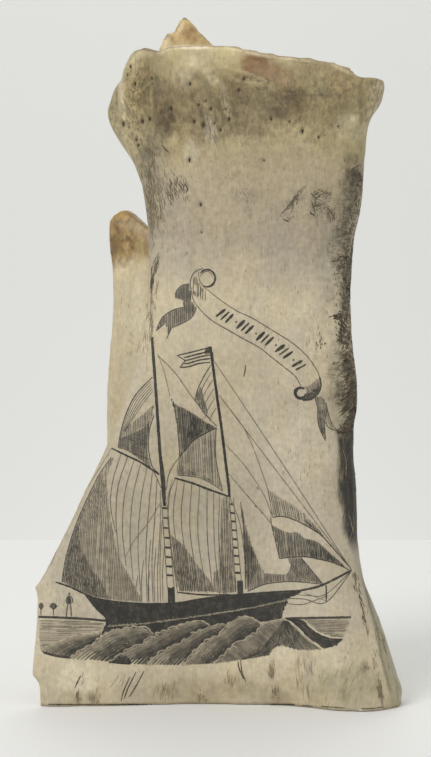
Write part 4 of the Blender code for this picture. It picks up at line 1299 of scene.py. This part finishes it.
# Old marks, specks and dashes of dirt: x, y, half width, half height and degrees turned of the oval that they
# gather in, how many, shortest, longest, degrees, width, fade
SCATTERS = table("""
152 188 11 34 -10 110 3 12 80 0.55 0.3; 173 188 13 12 -6 46 2 8 74 0.75 0.15
152 214 6 34 -4 50 3 12 84 0.6 0.42; 185 186 3 9 -8 12 2 7 78 0.8 0.15
156 267 1.8 8 12 18 3 9 100 0.8 0.25; 152 281 1.6 8 4 24 3 10 92 1 0.02
151.5 308 2 24 0 20 2 9 88 0.6 0.42; 150 320 4 50 6 24 3 14 94 0.6 0.5
212 118 18 26 0 44 5 18 80 0.55 0.5; 240 96 16 10 14 40 2 6 64 0.7 0.4
246 128 24 22 0 34 2 8 76 0.6 0.6; 290 104 17 13 -8 60 1.5 4 60 0.8 0.4
292 97 12 7 0 34 1.5 5 20 0.8 0.3; 258 84 20 8 12 40 1.5 4 20 0.8 0.42
272 100 66 30 4 110 1 3 80 0.8 0.5; 165 122 10 16 -4 40 2 7 84 0.8 0.4
136 78 12 26 0 60 1 2.6 80 1 0.4; 137 128 14 18 -20 60 1 4 60 0.9 0.42
150 150 14 9 30 40 2 7 60 0.7 0.4; 113 112 5 22 0 26 1 4 84 0.8 0.5
293 203 13 3 -56 26 1.5 4 120 0.9 0.18; 314 207 4 8 14 14 1.5 5 60 1.4 0.05
321 193 8 3 0 12 1.5 5 150 1.4 0.1; 332 214 4 9 20 22 1.5 4 100 0.9 0.3
290 219 5 5 0 8 1.5 3 120 0.9 0.3; 320 340 6 7 0 14 1.2 4 95 1.3 0.1
357 176 5 8 -30 50 1.5 6 150 1.2 0.05; 353 182 9 20 6 50 1.5 5 95 0.9 0.45
357 200 4 20 8 40 1.5 5 84 1.1 0.2; 346 232 9 26 0 50 1 4 100 1 0.35
350 250 6 34 0 60 1.2 6 84 1.3 0.12; 341 262 7 12 0 22 1.5 6 160 1.6 0.1
345 290 7 30 0 70 1 4 70 1.5 0.02; 338 290 11 42 0 40 1 3 90 1 0.4
338 316 5 3 -30 26 1.5 5 150 1.7 0; 343 328 5 15 10 70 1.5 5 60 1.6 0
352 318 3 44 0 60 1.5 6 84 1.1 0.25; 346 342 6 12 0 50 1.5 4 120 1.4 0
346 360 9 10 0 46 1.5 5 150 1.2 0.12; 350 378 6 18 0 46 3 9 150 1.4 0.05
349 408 7 24 0 60 3 11 146 1.4 0; 353 410 4 34 0 50 4 12 100 1.5 0
344 396 8 30 0 40 2 8 130 1 0.4; 346 432 7 6 0 34 2 6 60 1.2 0
350 490 5 52 1 8 8 26 88 1.2 0; 356 500 3 46 3 16 6 22 86 0.9 0.45
344 470 4 44 2 20 4 16 88 0.8 0.35; 354.5 578 2 9 -8 9 3 8 82 1.1 0.2
361 601 2 12 -10 12 4 9 78 1.2 0.15; 364.5 621 2 10 -10 8 3 7 78 1 0.3
366 668 3.5 3.5 0 10 1.5 4 80 1 0.45; 380.5 692 2.5 10 -14 20 4 11 76 0.9 0.45
376 660 4 26 -14 10 2 9 76 0.8 0.6; 271.5 672 3 8 0 12 4 9 84 0.9 0.5
382 640 4 40 -17 12 6 18 73 0.8 0.6; 229 680 5 6 0 9 3 8 100 0.8 0.5
275 692 3 6 0 9 3 8 88 0.9 0.45; 306 676 10 20 0 16 4 14 90 0.6 0.68
78 699 3 5 0 16 2 7 88 0.9 0.45; 94 698 6 6 0 12 2 6 100 0.8 0.55
164 692 8 9 0 12 4 11 94 0.8 0.62; 203 698 5 5 0 10 2 6 90 0.9 0.5
110 686 30 14 0 6 4 10 110 0.6 0.6; 340 682 24 16 0 14 4 16 112 0.6 0.72
345 650 22 26 0 8 1.5 4 86 0.8 0.55; 240 200 110 60 0 120 1 3.5 88 0.7 0.62
300 300 50 60 0 50 1 4 88 0.7 0.6; 310 440 34 60 0 46 1 5 88 0.7 0.62
246 196 9 9 0 26 1.5 4 70 0.8 0.62; 118 238 7 12 -10 26 1 3 70 1.1 0.55
128 330 12 60 0 8 2 8 92 0.6 0.8; 90 500 20 50 24 10 2 7 110 0.6 0.7
65 600 20 20 0 18 1 3 80 0.8 0.5; 188 34 10 7 0 8 1 3 60 1 0.72
300 78 60 12 8 60 1 3 80 0.9 0.5; 376 96 7 24 14 30 2 9 100 0.8 0.62""")
SCRATCHES = """\
scratches: line 1.2 0.32 0.6 | 161.5,144.5 166,150 169.5,152.5 | 80.8,675.5 77,683 75,688 | 130,676.6
 124,690 121,701 | 144,671 136,686 129,697 | 245.5,365 245,371 243.5,377 | 240.5,660 242,672 246,682 |
 238,661 239,668 243.5,679 | 281,214 287,208 296,194 | 283,219 289,222 | 289,209 293,202 299,192 |
 136,672 128,688 124,699 | 311,193 316,198 321,194 | 312,203 315,211 313,206 | 327,207 331,213 335,218
 | 352,431 351,437"""
# A painted contact shadow along the foot's bottom edge: a broken line on the right, and short dashes on the
# left
FOOT_SHADOW_LINE = corners("302,705.6 331,707 352,708.6 372,708.4 388,706")
FOOT_SHADOW_DASHES = (48, 290, 6), (704.3, 704.5)  # first, last and step across; down at both ends of a dash
MARKS_SHARE = 1.5  # marks drawn for each one counted in the table
MARK_SPREAD, MARK_LEAN = 0.55, 8  # share of the oval, and degrees
MARK_WIDTH_SWING = 0.35, 1.0  # as shares of the width


# Old marks, pores and specks, and a painted contact shadow along the foot
def draw_marks_and_foot_shadow(pen):
    for x, y, half_width, half_height, turned, count, shortest, longest, degrees, width, fade in SCATTERS:
        turn = math.radians(turned)
        for _ in range(round(count * MARKS_SHARE)):
            side, up = pen.random.normal(0, MARK_SPREAD, 2) * (half_width, half_height)
            middle = np.array((x + side * math.cos(turn) - up * math.sin(turn),
                               y + side * math.sin(turn) + up * math.cos(turn)))
            lean = math.radians(degrees + pen.random.normal(0, MARK_LEAN))
            half = np.array((math.cos(lean), math.sin(lean))) * pen.random.uniform(shortest, longest) / 2
            paler = fade + 0.12 + abs(pen.random.normal(0, 0.16))
            drawn = width * pen.random.uniform(*MARK_WIDTH_SWING)
            pen.line((middle - half, middle, middle + half), drawn, paler, 0.7)
    draw(pen, SCRATCHES)
    for x, y, radius in PORES:
        pen.lay(through(((x, y - 1.3 * radius), (x + 0.2, y + 1.3 * radius)), 5), radius, 0.0, 0.7)
    # Painted contact shadow along the foot's bottom edge
    across, (left_down, right_down) = FOOT_SHADOW_DASHES
    for x in range(*across):
        pen.line(((x, left_down), (x + 7, right_down)), pen.random.uniform(0.7, 1.4), 0.12)
    pen.broken(through(FOOT_SHADOW_LINE), 0.9, 0.25, 9, 0.8)


def cast(tree, line):
    """Where the lines of sight through pixel points meet the bone: hit or not, places, normals."""
    across = (line[:, 0] - PHOTO_WIDTH / 2) / FOCAL_PIXELS
    down = (line[:, 1] - PHOTO_HEIGHT / 2) / FOCAL_PIXELS
    found = [tree.ray_cast(CAMERA_PLACE, Vector((x, 1, -z)).normalized()) for x, z in zip(across, down)]
    hit = np.array([place is not None for place, *_ in found])
    places = np.array([place or (0, 0, 0) for place, *_ in found], float)
    normals = np.array([normal or (0, -1, 0) for _, normal, *_ in found], float)
    return hit, places, normals


def prism(places, normals, widths, lift):
    """Corners of a closed three-sided bar along places: two on its top and one below for each place."""
    side = np.cross(normals, np.gradient(places, axis=0))
    side *= (widths / np.linalg.norm(side, axis=1) / 2)[:, None]
    top = places + normals * lift
    return np.stack((top + side, top - side, places - normals * INK_KEEL), axis=1).reshape(-1, 3)


def prism_faces(first, count):
    faces = [(first, first + 2, first + 1)]
    for ring in range(first, first + 3 * (count - 1), 3):
        for here, there in ((0, 1), (1, 2), (2, 0)):
            faces.append((ring + here, ring + there, ring + there + 3))
            faces.append((ring + here, ring + there + 3, ring + here + 3))
    last = first + 3 * (count - 1)
    return faces + [(last, last + 1, last + 2)]


def lay_ink(pen, tree, material):
    """The pen's strokes as one piece on the bone."""
    corners, faces, fades, total = [], [], [], 0
    for line, widths, fade, lift in pen.strokes:
        hit, places, normals = cast(tree, line)
        metres = widths * (places[:, 1] - CAMERA_PLACE.y) / FOCAL_PIXELS
        jumps = np.append(False, np.abs(np.diff(places[:, 1])) > DEPTH_JUMP)
        for first, last in runs(hit & ~jumps):
            if last - first > 1:
                part = slice(first, last)
                corners.append(prism(places[part], normals[part], metres[part], lift))
                faces += prism_faces(total, last - first)
                fades.append(np.full(3 * (last - first), fade))
                total += 3 * (last - first)
    mesh = bpy.data.meshes.new(pen.name)
    mesh.from_pydata(np.vstack(corners), [], faces)
    add_amount(mesh, "fade", np.concatenate(fades))
    mesh.materials.append(material)
    piece = bpy.data.objects.new(pen.name, mesh)
    bpy.context.scene.collection.objects.link(piece)
    return piece


def ink_material(name, dark, pale):
    n = Nodes(name)
    fade = n.worked("ADD", n.amount("fade"), n.between(n.noise(0.0022), 0.3, 0.7, -0.10, 0.12), clamp=True)
    colour = n.mix(n.worked("POWER", fade, 1.4), (*paint(*dark), 1), (*paint(*pale), 1))
    n.join(colour, n.shader.inputs["Base Color"])
    n.join(n.between(n.noise(0.0010), 0.3, 0.7, 0.45, 0.65), n.shader.inputs["Roughness"])
    n.bump(n.noise(0.0005, detail=2), INK_BUMP)
    return n.material


INK_COLOURS = (40, 38, 32), (172, 160, 136)
# Dark and pale ends of old marks and dirt, also used for the painted contact shadow along the foot
DIRT_AND_SHADOW_COLOURS = (44, 38, 26), (150, 134, 104)
INK_PIECES = (("ink_hull_and_spars", draw_hull_and_spars), ("ink_sails", draw_sails),
              ("ink_rigging_and_shore", draw_rigging_and_shore), ("ink_sea", draw_sea),
              ("ink_banner", draw_banner), ("old_marks_and_foot_shadow", draw_marks_and_foot_shadow))


def make_ink(bone):
    mesh = bone.data
    tree = BVHTree.FromPolygons([v.co for v in mesh.vertices], [p.vertices[:] for p in mesh.polygons])
    ink = ink_material("old_ink", *INK_COLOURS)
    # The material of old marks and dirt, and of the painted contact shadow along the foot
    dirt = ink_material("old_dirt_and_shadow", *DIRT_AND_SHADOW_COLOURS)
    for seed, (name, drawing) in enumerate(INK_PIECES, 1):
        pen = Pen(name, seed)
        drawing(pen)
        piece = lay_ink(pen, tree, dirt if name == "old_marks_and_foot_shadow" else ink)
        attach(piece, "root")


# Studio

def make_flat(name, corners, colour):
    mesh = bpy.data.meshes.new(name)
    mesh.from_pydata(corners, [], [range(len(corners))])
    mesh.materials.append(plain_material(name + "_paint", colour, 0.6))
    thing = bpy.data.objects.new(name, mesh)
    bpy.context.scene.collection.objects.link(thing)


TABLE_COLOUR, WALL_COLOUR = (241, 241, 238), (234, 235, 230)
TABLE_DOWN = -0.0002  # metres that the table lies below the foot
# Name, place, where it looks, size, power
LIGHTS = (("window", (-0.88, -1.2, 1.15), (0, 0, 0.1), 0.8, 16),
          ("back_window", (0.1, 1.2, 1.3), (0, 0.4, 0), 1.0, 5),
          ("wall_glow", (0, 1.0, -0.4), (0, TABLE_END + WALL_BEHIND, 0.05), 0.6, 1.0))
AIR_LIGHT = 0.60


def make_stage():
    wide, near, far, low = TABLE_HALF_WIDTH, TABLE_FRONT, TABLE_END, TABLE_DOWN
    table_corners = ((-wide, near, low), (wide, near, low), (wide, far, low), (-wide, far, low))
    make_flat("table", table_corners, paint(*TABLE_COLOUR))
    wall, high = TABLE_END + WALL_BEHIND, WALL_HEIGHT
    wall_corners = ((-wide, wall, -1), (wide, wall, -1), (wide, wall, high), (-wide, wall, high))
    make_flat("wall", wall_corners, paint(*WALL_COLOUR))


def make_light(name, place, target, size, power):
    lamp = bpy.data.objects.new(name, bpy.data.lights.new(name, "AREA"))
    lamp.data.size = size
    lamp.data.energy = power
    lamp.location = place
    lamp.rotation_mode = "QUATERNION"
    lamp.rotation_quaternion = (Vector(target) - Vector(place)).to_track_quat("-Z", "Y")
    bpy.context.scene.collection.objects.link(lamp)


def make_world(strength):
    world = bpy.data.worlds.new("studio_air")
    bpy.context.scene.world = world
    world.use_nodes = True
    world.node_tree.nodes["Background"].inputs["Color"].default_value = (1, 1, 1, 1)
    world.node_tree.nodes["Background"].inputs["Strength"].default_value = strength


def make_camera():
    camera = bpy.data.objects.new("camera", bpy.data.cameras.new("camera"))
    camera.data.sensor_fit = "VERTICAL"
    camera.data.sensor_height = SENSOR_HEIGHT
    camera.data.lens = SENSOR_HEIGHT * FOCAL_PIXELS / PHOTO_HEIGHT
    camera.location = CAMERA_PLACE
    camera.rotation_euler = (math.pi / 2, 0, 0)
    bpy.context.scene.collection.objects.link(camera)
    bpy.context.scene.camera = camera


bone = make_bone()
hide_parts("whale_bone")
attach(bone, "root")
make_ink(bone)

make_stage()
for light in LIGHTS:
    make_light(*light)
make_world(AIR_LIGHT)
make_camera()
bpy.context.scene.view_settings.view_transform = "Standard"
